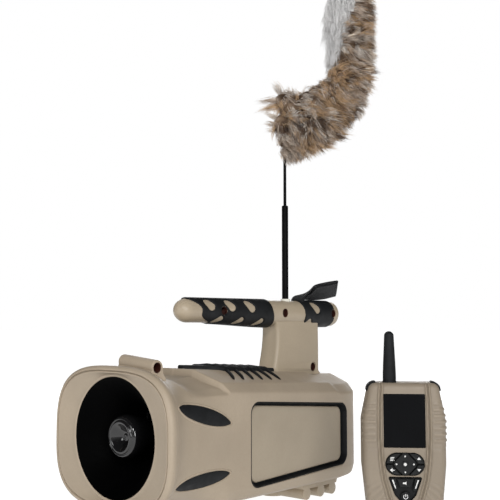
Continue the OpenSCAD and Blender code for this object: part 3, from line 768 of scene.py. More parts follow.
def build_ovals():
    """Rubber inlays in the neck, each crowned a little inside a thin raised rim."""
    def lifted(lift, *oval):
        return [(side_x(y, z) + lift, y, z) for y, z in oval_points(*oval)]

    ovals, rims = [], []
    for centre, tilt, length, height in (((-185.5, 110.2), math.radians(-15.5), 80, 16.5),
                                         ((-187.5, 48.5), math.radians(4.0), 78, 14.5)):
        ovals.append(loft([lifted(lift, centre, tilt, length * k, height * k) for k, lift in (
            (1, -1.6), (1, -0.3), (0.97, 0.1), (0.86, 0.45), (0.6, 0.8), (0.3, 1.0))]))
        rims.append(loft([
            lifted(lift, centre, tilt, length + 2 * grow + 1, height + 2 * grow)
            for grow, lift in ((0.2, -0.8), (0.2, 0.35), (0.7, 0.75), (1.3, 0.6), (2.0, 0.1),
                               (2.3, -0.8))], "joined"))
    for name, shapes, slot, nodes in (("oval_inlay_skins", ovals, "black_rubber", ["oval_inlays"]),
                                      ("oval_rims", rims, "tan_case", [])):
        piece(name, merge(*shapes, *map(mirrored, shapes)), "caller", slot, nodes)


# ---- front plate and horn

def bezel_outline(inset, half_w=BEZEL_W, half_h=BEZEL_H):
    """The front plate's superellipse outline drawn in by inset, at even turns of angle."""
    return ray_squircle(circle(0, 0, 1, BEZEL_STEPS), half_w - inset, half_h - inset, 3.1)


def build_bezel():
    mouth, back, wide = flare(0) + 0.2, BEZEL_BACK, BEZEL_W + 1.5
    lip, rim = MOUTH_Y - 1.0, MOUTH_Y - 6.0
    turn = circle(0, 0, 1, BEZEL_STEPS)
    rings = []

    def ring(line, y):
        rings.append(at_y(y, line + [0, HORN_Z]))

    for grow, y in ((0, back), (0, lip + 1.6), (0.25, lip + 0.7), (0.9, lip + 0.1), (1.9, lip),
                    (2.8, lip + 0.1)):
        ring(turn * (mouth + grow), y)
    for t in (0.2, 0.4, 0.6, 0.8):
        ring(turn * (mouth + 2.8) * (1 - t) + bezel_outline(6.6, wide) * t,
             lip + 0.1 + (rim + 0.5 - lip) * t)
    for inset, y in ((6.6, 0.5), (5.9, 0.3), (5.5, 0.7), (5.3, 1.6), (4.7, 1.7), (4.4, 1.2)):
        ring(bezel_outline(inset, wide), rim + y)
    for a in np.linspace(0, math.pi / 2, 7):
        ring(bezel_outline(4.0 * (1 - math.sin(a)), wide), rim + 4.4 * (1 - math.cos(a)))
    for inset, y in ((0, 7.0), (0.3, 8.0), (1.0, 8.8), (2.4, 9.4), (2.8, 10.0), (3.0, 11.0)):
        ring(bezel_outline(inset, wide - 0.4), rim + y)
    ring(bezel_outline(4.0), back - 1.6)
    ring(bezel_outline(5.4), back - 0.2)
    ring(bezel_outline(9, BEZEL_W + 2, BEZEL_H + 2), back)
    piece("front_bezel_skin", loft(rings, "joined"), "caller", "tan_case", ["front_bezel"],
          sharp=40)


def sloped(shape):
    """Follows the screw tube's fall towards its open end."""
    verts, faces = shape
    verts = np.asarray(verts, float).copy()
    verts[:, 2] -= (verts[:, 0] - 5) * 0.095
    return verts, faces


def build_screw_tube():
    """The boss across the top of the front plate, on a saddle that runs down into the neck."""
    y, z = MOUTH_Y + 16, HORN_Z + 72.6
    left, right, r = -6, 44.5, 7.4
    side = [(math.cos(a) * r, math.sin(a) * r) for a in np.radians(np.linspace(-20, 200, 23))]
    foot = [(-r - 0.2, -4), (-r - 1.2, -7), (-r - 3.4, -9.5), (-r - 3.4, -13), (r + 5, -15),
            (r + 4, -10), (r + 1.4, -7), (r + 0.2, -4)]
    outline = np.array(side + foot)
    rings = []
    for x, k in ((left, 0.80), (left + 0.5, 0.90), (left + 1.4, 0.97), (left + 3, 1.0),
                 (right - 1.6, 1.0), (right - 0.6, 0.975), (right, 0.91)):
        ring = outline * k
        ring[:, 1] = np.where(outline[:, 1] < -6, outline[:, 1], ring[:, 1])
        rings.append(at_x(x, ring + [y, z]))
    bore = [(5.1, 12), (5.1, right - 0.7), (5.8, right + 1)]
    # painted shade: the lining is a thin dark sleeve just inside the bore, standing for its shade
    lining = [(5.12, 12.2), (5.12, right - 0.9), (4.7, right - 0.9), (4.7, 12.6)]
    bore, lining = (sloped(revolve(line, 40, "x", (0, y, z))) for line in (bore, lining))
    tube = make_object("screw_tube", *sloped(loft(rings)))
    boolean(tube, bore)
    finish_piece(tube, "caller", "tan_case", sharp=32)
    piece("screw_tube_lining", lining, "caller", "screw_dark", material=bore_shade_material)


def flare(s):
    """The horn's radius at a distance behind its mouth."""
    return 13 + 46 * max(0.0, 1 - s / HORN_DEPTH) ** 2.2


def build_horn():
    line = [(flare(s) + (0.1 if s < 1 else 0), s) for s in np.linspace(0, HORN_DEPTH, 60)]
    line += [(flare(s) + 2.2, s) for s in np.linspace(HORN_DEPTH, 2.2, 40)]
    bell = revolve(line, 128, "y", (0, MOUTH_Y - 0.4, HORN_Z), "joined")
    flange = revolve([(13, 94), (30, 94), (30, 99), (13, 99)], 64, "y", (0, MOUTH_Y + 0.4, HORN_Z))
    piece("horn_bell_skin", merge(bell, flange), "caller", "horn_black", ["horn_bell"], sharp=50)


def build_reflector():
    """The bullet in the horn's middle: a ring round a dished cone, carried on three fins."""
    r = 21.5
    cone = [(0.01, 15.2), (1.2, 14.6), (2.2, 14.9), (3.6, 15.6), (5.2, 15.0), (7.6, 12.8),
            (10.4, 10.0), (12.0, 8.7)]
    lip = [(12.6, 8.0), (13.4, 7.3), (14.6, 7.0), (15.8, 7.3), (16.4, 8.1), (16.8, 8.9),
           (17.4, 9.0), (18.0, 8.3), (18.9, 8.5), (20.2, 10.4), (21.0, 12.4), (r, 15.0)]
    tail = [(r, 17), (r - 0.8, 22), (r - 4, 34), (r - 9, 46), (7, 58), (0.01, 64)]
    body = revolve(cone + lip + tail, 72, "y", (0, MOUTH_Y, HORN_Z))
    section = ((-1.2, 44), (0, 42.5), (1.2, 44), (1.2, 49), (0, 50.5), (-1.2, 49))
    fins = []
    for a in np.radians([90, 210, 330]):
        along = np.array([math.cos(a), 0, math.sin(a)])
        side = np.array([-math.sin(a), 0, math.cos(a)])
        fins.append(loft([[along * reach + side * u + [0, MOUTH_Y + v, HORN_Z]
                           for u, v in section] for reach in np.linspace(8, flare(50) - 0.2, 6)]))
    piece("horn_reflector_skin", merge(body, *fins), "caller", "reflector_black",
          ["horn_reflector"], sharp=60)


# ---- deck pad

def surface_strip(line, width, height, sink=0.6):
    """A rounded strip along points on the deck, with its own width and height at each."""
    rings = []
    line = np.asarray(line, float)
    for p, heading, w, h in zip(line, unit(np.gradient(line, axis=0)), width, height):
        slope = top_z(p[0] + 0.5, p[1]) - top_z(p[0] - 0.5, p[1])
        up = unit(np.array([-slope, 0.06, 1.0]))
        across = unit(np.cross(up, heading)) * w / 2
        crown = [p + across * math.cos(a) + up * h * math.sin(a) ** 0.7
                 for a in np.linspace(0, math.pi, 7)]
        rings.append(crown + [p - across - up * sink, p + across - up * sink])
    return loft(rings)


def build_deck_pad():
    """The wedge-shaped pad, its cross ribs, and the fingers that carry them down the shoulders."""
    centres = np.add([(-22, 120), (-25.5, 34), (-3, 0), (3, 0), (25.5, 34), (22, 120)],
                     [0, pad_low[1] + 14])
    rings = []
    for inset, lift in ((0, -0.8), (0, 2.0), (0.25, 2.9), (0.8, 3.5), (1.6, 3.8), (6, 3.9)):
        outline = resampled(rounded_outline(centres, max(3 - inset, 0.4), 5), 120)
        if inset > 2.5:
            outline = shrunk(outline, [0.6, 0.93])
        rings.append([(x, y, top_z(x, y) + lift) for x, y in outline])
    shapes = [loft(rings)]
    for i in range(6):
        line, width, height = [], [], []
        for x in np.linspace(-51, 51, 81):
            out = abs(x)
            y = (pad_low[1] + 54 + 13.6 * i + (1.6 * i - 15.5) * (max(out - 17, 0) / 34) ** 1.9
                 - 3.2 * (1 - min(out / 22, 1)) ** 2)
            on_pad = 1 - smooth_step(out, 21, 29)
            crown = 1.3 * max(1 - out / 16, 0)
            line.append((x, y, top_z(x, y) + (2.6 + crown) * on_pad + 0.1))
            taper = math.sqrt(max(1 - ((out - 22) / 29.2) ** 2, 0.01)) if out > 22 else 1
            width.append((5.4 + 1.8 * on_pad) * (0.3 + 0.7 * taper))
            height.append((2.1 + 0.5 * on_pad) * (0.25 + 0.75 * taper))
        shapes.append(surface_strip(line, width, height))
    piece("deck_pad_skin", merge(*shapes), "caller", "black_rubber", ["deck_pad"], sharp=45)


# ---- handle

def post_ring(half, y0, y1, r, height):
    """Level section of the pylon, at a height that depends on y."""
    return [(x, y, height(y)) for x, y in rect(0, (y0 + y1) / 2, half, (y1 - y0) / 2, r, 6)]


def handle_tube():
    nose, end = handle_low[1] + HANDLE_R, handle_high[1]
    line = [(HANDLE_R * math.sin(a), nose - HANDLE_R * math.cos(a))
            for a in np.linspace(0.01, math.pi / 2, 14)]
    line += [(HANDLE_R, y) for y in np.linspace(nose + 6, end - 6, 24)]
    line += [(HANDLE_R - inward, end - back) for inward, back in (
        (0, 3.4), (0.5, 2.0), (1.6, 0.6), (3, 0), (5, 0.1), (5.6, 0.8), (6, 2.4))]
    return revolve(line + [(0.01, end - 2.6)], 72, "y", (0, 0, HANDLE_Z))


def pylon():
    """The post under the handle: flared where it meets the deck and the tube."""
    front, rear, half = -5.5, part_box("port_cover")[0].y / MM - 0.3, 14
    rings = [post_ring(half + out, front - ahead, rear + behind, r, lambda y: deck_z(y) + up)
             for out, ahead, behind, r, up in ((2.4, 8.6, 1.6, 6.5, -2), (2.2, 8.3, 1.4, 6.5, 0.3),
                                               (1.0, 7.2, 0.7, 6.2, 1.6), (0.3, 6.4, 0.1, 6, 4))]
    rings += [post_ring(half - slim, front - ahead, rear + slim * 0.8, 4.6, lambda y: z)
              for z, ahead, slim in ((154, 4.6, 0.0), (162, 2.8, 0.1), (170, 1.4, 0.3),
                                     (178, 0.5, 0.5), (186, 0.1, 0.8), (192, 0.3, 1.1),
                                     (196, 1.2, 1.3), (198.5, 2.6, 1.4), (200.5, 4.8, 1.4))]
    return loft(rings + [post_ring(half - 4, front - 3, rear, 5, lambda y: 207)])


def cut_at_seam(obj, side, name):
    """One half of a solid, cut at the middle plane and closed."""
    half = linked(name, obj.data.copy())
    with editing(half.data) as bm:
        cut = bmesh.ops.bisect_plane(bm, geom=bm.verts[:] + bm.edges[:] + bm.faces[:],
                                     plane_co=(side * SEAM * MM, 0, 0), plane_no=(side, 0, 0),
                                     clear_inner=True)
        edges = [e for e in cut["geom_cut"] if isinstance(e, bmesh.types.BMEdge)]
        bmesh.ops.triangle_fill(bm, edges=edges, use_beauty=True)
    return half


SCREWS = [(-97.4, 211), (6.4, 211), (102, 211)]
BORES = [(y, z, HANDLE_R) for y, z in SCREWS] + [(61, 145.5, 14)]


def tapered(verts):
    """The handle's taper towards its nose: its top stays level and its belly rises."""
    verts = np.array(verts, float)
    k = 1 - 0.16 * smooth_step(-verts[:, 1], 5, 135)
    k = np.where(verts[:, 2] > HANDLE_Z - 25, k, 1)
    top = HANDLE_Z + HANDLE_R
    verts[:, 0] *= k
    verts[:, 2] = top + (verts[:, 2] - top) * k
    return verts


def taper_object(obj):
    co = np.array([v.co for v in obj.data.vertices]) / MM
    obj.data.vertices.foreach_set("co", (tapered(co) * MM).ravel())


def at_bores(line, steps):
    """A (radius, depth from the mouth) line turned about the axis of each screw."""
    return [revolve([(r, mouth + x) for r, x in line], steps, "x", (0, y, z))
            for y, z, mouth in BORES]


def build_handle():
    tube = make_object("tube", *handle_tube())
    boolean(tube, pylon(), "UNION")
    for bore in at_bores([(5.1, -6), (5.1, -1.5), (5.4, -0.8), (6.1, 0.4), (9, 4)], 32):
        boolean(tube, bore)
    boolean(tube, revolve([(5.9, 12), (5.9, 15.2), (6.4, 15.8), (7, 20)], 40, "z",
                          (0, SPINDLE_Y, HANDLE_Z)))
    low, high = box_mm("charge_port")
    port = rect(0, (low[2] + high[2]) / 2, high[0] + 0.4, (high[2] - low[2]) / 2 + 0.4, 1.0)
    boolean(tube, loft([at_y(y, port) for y in (low[1] - 1, high[1] + 6)]))
    taper_object(tube)
    for side, label in ((1, "right"), (-1, "left")):
        half = cut_at_seam(tube, side, f"handle_{label}_skin")
        finish_piece(half, "caller", "tan_handle", [f"handle_{label}"], sharp=52)
    bpy.data.objects.remove(tube)
    # painted shade: thin dark sleeves just inside the screw bores stand for the shade in them
    bore_shade_sleeves = at_bores([(5.08, -5.9), (5.08, -1.1), (4.75, -1.1), (4.75, -5.5)], 32)
    verts, faces = merge(*bore_shade_sleeves)
    piece("screw_bore_linings", (tapered(verts), faces), "caller", "screw_dark",
          material=bore_shade_material)


def capsule_distance(y, a, centre, half, direction, radius):
    """Signed distance from a slanted capsule on the unrolled sleeve, negative inside."""
    dy, da = y - centre[0], a - centre[1]
    along = np.clip(dy * direction[0] + da * direction[1], -half, half)
    return np.hypot(dy - along * direction[0], da - along * direction[1]) - radius


def smooth_min(a, b, k=2.0):
    h = np.clip(0.5 + 0.5 * (b - a) / k, 0, 1)
    return b + (a - b) * h - k * h * (1 - h)


def sleeve(node, low, high, windows, notches, under_limit=None):
    """A rubber grip moulded round the tube: solid rubber between windows and notches."""
    y0, y1, core = low[1], high[1], HANDLE_R - 0.5
    rows, cols = int((y1 - y0 + 10) / 0.75), 150
    y = np.linspace(y0 - 8, y1 + 2, rows)[:, None] * np.ones(cols)
    turn = np.linspace(-math.pi, math.pi, cols, endpoint=False)[None, :] * np.ones((rows, 1))
    a = np.abs(turn) * HANDLE_R
    front = y0 - 7 + 15 * smooth_step(a, 4, 24) + 18 * smooth_step(a, 30, 46)
    rear = y1 - 3.5 + 5 * smooth_step(a, 16, 42)
    if under_limit:
        front, rear = y0 + 2.5 * smooth_step(a, 6, 30), y1
    solid = smooth_min(y - front, rear - y)
    for yc in windows:
        solid = smooth_min(solid, capsule_distance(y, a, (yc, 16.0), 3.2, (0.6, 0.8), 6.0))
    for yc in notches:
        solid = smooth_min(solid, capsule_distance(y, a, (yc, 38.0), 4.6, (0.75, -0.66), 4.3), 1.2)
    if under_limit:
        solid = smooth_min(solid, np.where(y < under_limit, 37.5 - a, 99.0))
    screw = np.full_like(solid, 99.0)
    for sy, sz in SCREWS:
        where = (math.pi / 2 - math.asin((sz - HANDLE_Z) / HANDLE_R)) * HANDLE_R
        screw = np.minimum(screw, np.hypot(y - sy, a - where) - 5.6)
    rise = [np.clip(r, 0, 1) for r in ((solid + 0.3) / 1.5, (screw + 0.2) / 0.9)]
    radius = np.min([core + 1.9 * np.sqrt(1 - (1 - r) ** 2) for r in rise], axis=0)
    keep = (np.minimum(solid, screw) > -0.3).ravel()
    skins = [np.stack([r * np.sin(turn), y, HANDLE_Z + r * np.cos(turn)], axis=2).reshape(-1, 3)
             for r in (radius, core)]
    faces = []
    for f in grid_faces(rows, cols, wrap=True):
        if any(keep[i] for i in f):
            faces += [f, tuple(i + rows * cols for i in reversed(f))]
    verts, faces = compact(np.vstack(skins), faces)
    piece(node + "_skin", (tapered(verts), faces), "caller", "black_rubber", [node], sharp=60,
          weld=0.02)


def build_grips():
    sleeve("grip_front", *box_mm("grip_front"), (-119, -87, -55), (-105, -72, -39))
    sleeve("grip_rear", *box_mm("grip_rear"), (66,), (51,), under_limit=76)


def build_strap():
    """One length of webbing doubled back: flat in its slot, then twisting up on to its edge."""
    knots = [(0, 46.6, 221), (0, 48.4, 227.6), (0.2, 56, 231.5), (0.6, 72, 235.5),
             (0.8, 92, 239.6), (0.6, 112, 243), (0.2, 128, 245.2)]
    middle = resampled(catmull(knots, 12), 44, closed=False)
    heading = unit(np.gradient(middle, axis=0))
    twist = math.radians(74) * smooth_step(middle[:, 1], 50, 92)[:, None]
    flat = np.array([1.0, 0, 0])
    across = flat * np.cos(twist) - np.cross(heading, flat) * np.sin(twist)
    normal = np.cross(across, heading)
    along = np.linspace(0, 1, len(middle))[:, None]
    gap = normal * (1.0 + 1.5 * np.sin(math.pi * along))
    drop = across * -3.4 * smooth_step(along, 0.25, 0.8)
    turn = math.pi * np.linspace(0.25, 0.75, 5)[:, None]
    bend = heading[-1] * np.sin(turn) * 1.4 + normal[-1] * np.cos(turn) * 1.2
    path = np.vstack([middle + gap, middle[-1] + bend, (middle - gap + drop)[::-1]])
    sides = np.vstack([across, [across[-1]] * len(bend), across[::-1]])
    ups = np.vstack([normal, unit(bend), -normal[::-1]])
    half, thick = 9.0, 0.75
    section = [(-half, 0), (-half + 0.5, thick), (0, thick), (half - 0.5, thick), (half, 0),
               (half - 0.5, -thick), (0, -thick), (-half + 0.5, -thick)]
    strap = piece("wrist_strap_webbing", sweep(path, sides, ups, section), "caller", "webbing",
                  ["wrist_strap"], sharp=50)


def catmull(knots, steps):
    """Smooth line through the knots."""
    knots = np.asarray(knots, float)
    padded = np.vstack([2 * knots[0] - knots[1], knots, 2 * knots[-1] - knots[-2]])
    points = []
    for i in range(1, len(padded) - 2):
        p0, p1, p2, p3 = padded[i - 1: i + 3]
        for t in np.arange(steps) / steps:
            points.append(0.5 * (2 * p1 + (p2 - p0) * t + (2 * p0 - 5 * p1 + 4 * p2 - p3) * t ** 2
                                 + (3 * p1 - p0 - 3 * p2 + p3) * t ** 3))
    points.append(knots[-1])
    return np.array(points)


# ---- rod and fur

FUR_TURN = math.radians(41.6)
FUR_LINE = [(1, 404, 6), (7, 414, 15), (17, 427, 27), (30, 443, 38), (42, 460, 40),
            (59, 475, 37), (73, 494, 33), (80, 515, 31), (80, 537, 32), (78, 562, 33),
            (78, 585, 34), (80, 606, 29), (82, 620, 20), (84, 634, 8)]
FUR_LOBES = [(9, 464, 25), (-2, 472, 15), (-1, 443, 20), (30, 468, 26), (76, 466, 24),
             (56, 444, 26), (38, 430, 22), (2, 422, 15)]
REACH = np.array([math.cos(FUR_TURN), math.sin(FUR_TURN), 0])
AWAY = np.array([-math.sin(FUR_TURN), math.cos(FUR_TURN), 0])
UP = np.array([0, 0, 1.0])
FUR_PATH = catmull(FUR_LINE, 10)
HAIR_POINTS = 10


def build_rod():
    r, top = (rod_high[0] - rod_low[0]) / 2, rod_high[2]
    rod = [(0.01, rod_low[2]), (r, rod_low[2]), (r, 230), (r, top - 1.2), (r - 0.3, top - 0.4),
           (r - 1.1, top), (2.0, top), (2.0, top - 4), (0.01, top - 4)]
    low, high = box_mm("decoy_wire")
    r, tip = (high[0] - low[0]) / 2, high[2] + 8
    wire = [(0.01, top - 6), (r, top - 6), (r, top + 2), (r * 0.96, tip), (0.01, tip + 1)]
    for node, line, steps in (("decoy_rod", rod, 48), ("decoy_wire", wire, 24)):
        piece(node + "_skin", revolve(line, steps, "z", (0, SPINDLE_Y, 0)), "rod", "rod_black",
              [node])


def in_fur(reach, height):
    return REACH * reach + UP * height + [0, SPINDLE_Y, 0]


def fur_frame(t):
    """Middle point, radius and heading of the tail at t from 0 at the wire to 1 at the tip."""
    last = len(FUR_PATH) - 1
    at = t * last
    i = int(min(max(at, 0), last - 1))
    x, z, radius = FUR_PATH[i] + (FUR_PATH[i + 1] - FUR_PATH[i]) * (at - i)
    d = FUR_PATH[min(i + 1, last)] - FUR_PATH[max(i - 1, 0)]
    return in_fur(x, z), radius, unit(REACH * d[0] + UP * d[1])


def hair_mesh(roots, tips, bows, widths):
    """Tapered three-sided hairs, each bowed between its root and its tip."""
    heading = unit(tips - roots)
    side = unit(np.cross(heading, [0.31, 0.55, 0.77]))
    other = np.cross(heading, side)
    verts = np.empty((len(roots), HAIR_POINTS, 3))
    along = np.ones((len(roots), HAIR_POINTS))
    for k, (t, w) in enumerate(((0, 0.8), (0.4, 1.0), (0.75, 0.7))):
        centre = roots + (tips - roots) * t + bows * (4 * t * (1 - t))
        for c in range(3):
            a = 2 * math.pi * c / 3
            around = side * math.cos(a) + other * math.sin(a)
            verts[:, 3 * k + c] = centre + around * (widths * w)[:, None]
            along[:, 3 * k + c] = t
    verts[:, 9] = tips
    pattern = grid_faces(3, 3, wrap=True) + [(6, 7, 9), (7, 8, 9), (8, 6, 9), (2, 1, 0)]
    faces = [tuple(i + HAIR_POINTS * h for i in face) for h in range(len(roots))
             for face in pattern]
    return verts.reshape(-1, 3), faces, along.ravel()


# Patches of the coat: reach, height, size, and the colour most of its tufts have there
PATCHES = [
    (66, 521, 8, "dark"), (93, 585, 8, "dark"), (98, 566, 12, "tawny"), (58, 500, 14, "tawny"),
    (45, 462, 17, "tawny"), (15, 472, 15, "silver"), (2, 482, 11, "grey"), (22, 440, 8, "dark"),
    (40, 446, 7, "dark"), (62, 452, 9, "dark"), (86, 540, 12, "silver"), (4, 412, 12, "grey"),
    (20, 420, 12, "tawny"), (100, 500, 14, "tawny"), (74, 480, 12, "grey"), (52, 430, 12, "grey"),
]

# Tufts that stand out past the outline: reach, height, direction, length
SPIKES = [
    (-6, 471, (-1, -0.04), 33, "grey"), (-6, 466, (-1, -0.2), 28, "tawny"),
    (-8, 447, (-0.8, 0.5), 26, "silver"), (-8, 439, (-0.85, 0.3), 20, "grey"),
    (-4, 482, (-0.6, 0.8), 19, "silver"), (100, 509, (1, 0.0), 22, "dark"),
    (96, 502, (1, -0.12), 22, "tawny"), (98, 490, (0.9, -0.4), 16, "silver"),
    (62, 434, (1, -0.12), 24, "tawny"), (58, 428, (1, -0.25), 22, "dark"),
    (42, 416, (1, -0.15), 22, "tawny"), (76, 452, (1, -0.1), 16, "dark"),
    (94, 476, (0.8, -0.6), 14, "grey"), (102, 545, (0.9, -0.1), 14, "silver"),
    (101, 575, (0.9, 0.2), 13, "dark"), (100, 560, (1, 0.0), 12, "tawny"),
]


def coat_colour(reach, height, lean):
    """The colour of a tuft, from its place: patches, a white flank and tip, then a mixture."""
    if height > 527 and lean < -0.8 + (height - 527) / 65 * 0.9:
        return "white"
    for x, z, size, coat in PATCHES:
        if rng.random() < 0.75 * math.exp(-((reach - x) ** 2 + (height - z) ** 2) / size ** 2):
            return coat
    return str(rng.choice(["grey", "tawny", "silver", "dark"], p=[0.30, 0.29, 0.26, 0.15]))


def fur_balls():
    """The tail's full shape as a row of balls along its line, with the lobes beside it."""
    balls = [fur_frame(t)[:2] for t in np.linspace(0, 1, 60)]
    balls += [(in_fur(x, z), r) for x, z, r in FUR_LOBES]
    return [np.array(part) for part in zip(*balls)]


def fur_core():
    core = []
    for t in np.linspace(0.0, 1.0, 70):
        middle, radius, heading = fur_frame(t)
        up = np.cross(AWAY, heading)
        r = max(radius * 0.6, 1.2) * (0.3 if t < 0.01 or t > 0.99 else 1)
        ring = []
        for a in np.linspace(0, 2 * math.pi, 48, endpoint=False):
            k = r * (1 + 0.09 * math.sin(5 * a + 31 * t) + 0.08 * math.sin(9 * a - 57 * t)
                     + 0.06 * math.sin(14 * a + 90 * t))
            ring.append(middle + AWAY * math.cos(a) * k + up * math.sin(a) * k)
        core.append(ring)
    shapes = [loft(core)]
    for x, z, r in FUR_LOBES:
        shapes.append(loft([[in_fur(x, z) + r * 0.62 * (UP * math.cos(b) + math.sin(b) * (
            REACH * math.cos(a) + AWAY * math.sin(a)) * (1 + 0.08 * math.sin(7 * a + 5 * b)))
            for a in np.linspace(0, 2 * math.pi, 28, endpoint=False)]
            for b in np.linspace(0.05, math.pi - 0.05, 16)]))
    return merge(*shapes)


def swirl(points, size):
    """A smooth, gently turning direction field, for the lie of the coat."""
    turns = np.array([[0.9, 0.3, -0.5], [-0.4, 0.8, 0.6], [0.5, -0.7, 0.9]]) / size
    return np.sin(points @ turns.T * 2 * math.pi + [0.4, 2.1, 4.0])


def fur_tufts(count):
    """Roots, tips, and outward directions of the tufts that cover the tail's shape."""
    centres, radii = fur_balls()

    def reaches(points):
        return np.linalg.norm(points[:, None] - centres, axis=2) / radii

    share = radii ** 1.6
    pick = rng.choice(len(radii), count * 6, p=share / share.sum())
    away = unit(rng.normal(0, 1, (len(pick), 3)))
    roots = centres[pick] + away * (radii[pick] * rng.uniform(0.5, 0.74, len(pick)))[:, None]
    roots = roots[reaches(roots).min(axis=1) > 0.5][:count]
    reach = reaches(roots)
    weight = np.exp(-9 * (reach - reach.min(axis=1, keepdims=True)))
    out = unit((weight[:, :, None] * (roots[:, None] - centres) / radii[:, None]).sum(1))
    radius = (weight * radii).sum(1) / weight.sum(1)
    column = smooth_step(roots[:, 2], 495, 530)[:, None]
    comb = (REACH * 0.62 - UP * 0.5) * (1 - column) + (REACH * 0.6 - UP * 0.35) * column
    lie = out * rng.uniform(0.3, 0.7, (len(roots), 1)) + comb + swirl(roots, 42) * 0.36
    lie = unit(lie + rng.normal(0, 0.13, lie.shape))
    length = rng.uniform(15, 27, len(roots)) * (0.5 + 0.5 * np.minimum(1, radius / 30))
    past = reaches(roots + lie * length[:, None]).min(axis=1)
    limit = rng.uniform(1.0, 1.12, len(roots))
    shrink = np.where(past > limit, np.maximum(0.4, 1 - (past - limit) * radius / length), 1.0)
    return roots, roots + lie * (length * shrink)[:, None], out


COATS = {
    "dark": ((0.05, 0.03, 0.02), (0.15, 0.085, 0.045), (0.05, 0.028, 0.015)),
    "grey": ((0.20, 0.14, 0.10), (0.62, 0.50, 0.40), (0.36, 0.26, 0.19)),
    "tawny": ((0.20, 0.11, 0.05), (0.68, 0.46, 0.26), (0.38, 0.21, 0.10)),
    "silver": ((0.40, 0.31, 0.24), (0.95, 0.85, 0.74), (0.70, 0.58, 0.46)),
    "white": ((0.85, 0.84, 0.83), (0.97, 0.96, 0.95), (0.97, 0.96, 0.95)),
}


def underfur():
    """The core's colour: mottled browns, and pale where the flank is white."""
    n = Nodes("fur_under")
    shade = n.ramp(n.noise(70, 4, 0.6), [(0.35, (0.05, 0.032, 0.022)), (0.5, (0.17, 0.115, 0.075)),
                                         (0.66, (0.26, 0.2, 0.155))])
    flank = n.add("ShaderNodeVectorMath", {0: n.place, 1: tuple(REACH - UP * 0.48)},
                  operation="DOT_PRODUCT").outputs["Value"]
    high = n.add("ShaderNodeSeparateXYZ", {0: n.place}).outputs["Z"]
    pale = n.math("MULTIPLY", n.math("LESS_THAN", flank, -0.172),
                  n.math("GREATER_THAN", high, 0.527))
    return n.set(color=n.mix(pale, shade, (0.75, 0.74, 0.73)), rough=0.9, specular=0.1,
                 normal=n.bump(n.noise(600, 3), 0.7, 0.4))


def build_fur():
    """The tail: a soft core, and fine hair in small tufts combed out and down along it."""
    stores = {name: [] for name in COATS}

    def add_tuft(coat, root, tip, spread, hairs, bow):
        scatter = rng.normal(0, spread, (hairs, 3))
        roots = root + scatter
        reach = rng.uniform(0.62, 1.1, (hairs, 1))
        tips = roots + (tip - root - scatter * 0.45) * reach + rng.normal(0, 1.25, (hairs, 3))
        tone = np.clip(rng.uniform(0.05, 0.95) + rng.normal(0, 0.2, hairs), 0, 1)
        stores[coat].append((roots, tips, bow + rng.normal(0, 0.7, (hairs, 3)),
                             rng.uniform(0.13, 0.28, hairs), tone))

    for root, tip, out in zip(*fur_tufts(3000)):
        coat = coat_colour((root - [0, SPINDLE_Y, 0]) @ REACH, root[2], out @ REACH)
        if coat == "white":
            length = np.linalg.norm(tip - root)
            tip = root + unit(out * rng.uniform(0.2, 0.45) - UP * 0.9 + REACH * 0.1) * length
        add_tuft(coat, root, tip, 1.5, 18 if coat == "white" else 11, out * 1.5 + UP * 0.8)
    for reach, height, (dx, dz), length, coat in SPIKES:
        for _ in range(5):
            start = in_fur(reach, height) + AWAY * rng.normal(0, 5) + UP * rng.normal(0, 2.2)
            tip = start + (REACH * dx + UP * dz) * length * rng.uniform(0.6, 1.05)
            add_tuft(coat, start, tip + rng.normal(0, 1.5, 3), 1.6, 16, UP * 1.2)
    piece("decoy_fur_core", fur_core(), "rod", "fur", ["decoy_fur"], material=underfur())
    for name, tufts in stores.items():
        *hairs, tone = (np.concatenate(part) for part in zip(*tufts))
        verts, faces, along = hair_mesh(*hairs)
        obj = make_object(f"decoy_fur_{name}", verts, faces, closed=False, weld=0)
        for label, values in (("along", along), ("tint", np.repeat(tone, HAIR_POINTS))):
            layer = obj.data.attributes.new(label, "FLOAT", "POINT")
            layer.data.foreach_set("value", np.asarray(values, np.float32))
        finish_piece(obj, "rod", "fur", sharp=180,
                     material=fur_material(f"fur_{name}", *COATS[name]))


# ---- remote control

REMOTE_AT = Vector((202.5, -39.5, 0))
REMOTE_TURN = math.radians(37)
REMOTE_THICK = 30
KEY_RISE = 1.3
HIGHER_KEYS = {"key_select": 0.3, "key_power": 0.2}
SCREEN_Z, SCREEN_H = 104.5, 52
PAD_Z, BAR_Z, POWER_Z = 63, 50, 32.4


def at_remote(shape):
    """Moves a shape drawn with the remote's face at y = 0 to where the remote stands."""
    verts, faces = shape
    verts = np.asarray(verts, float) - [0, REMOTE_THICK / 2, 0]
    c, s = math.cos(REMOTE_TURN), math.sin(REMOTE_TURN)
    x, y = verts[:, 0] * c - verts[:, 1] * s, verts[:, 0] * s + verts[:, 1] * c
    return np.stack([x + REMOTE_AT.x, y + REMOTE_AT.y, verts[:, 2]], axis=1), faces


def hull_outline(circles):
    """Convex outline round circles given as (x, z, radius)."""
    points = sorted(tuple(p) for x, z, r in circles for p in circle(x, z, r, 48))
    sides = []
    for order in (points, points[::-1]):
        side = []
        for p in order:
            while len(side) > 1 and ((side[-1][0] - side[-2][0]) * (p[1] - side[-2][1])
                                     - (side[-1][1] - side[-2][1]) * (p[0] - side[-2][0])) <= 0:
                side.pop()
            side.append(p)
        sides += side[:-1]
    return np.array(sides)


def both(circles):
    return [(s * x, z, r) for x, z, r in circles for s in (-1, 1)]


REMOTE_EDGE = hull_outline(both([(27, 133, 8), (31.4, 104, 9), (31.4, 62, 9), (23.4, 20, 13),
                                 (14, 8, 8)]))


def half_width(z):
    """Half the remote's width at each height."""
    edge = REMOTE_EDGE[REMOTE_EDGE[:, 0] >= 0]
    edge = edge[np.argsort(edge[:, 1])]
    return np.interp(z, edge[:, 1], edge[:, 0])


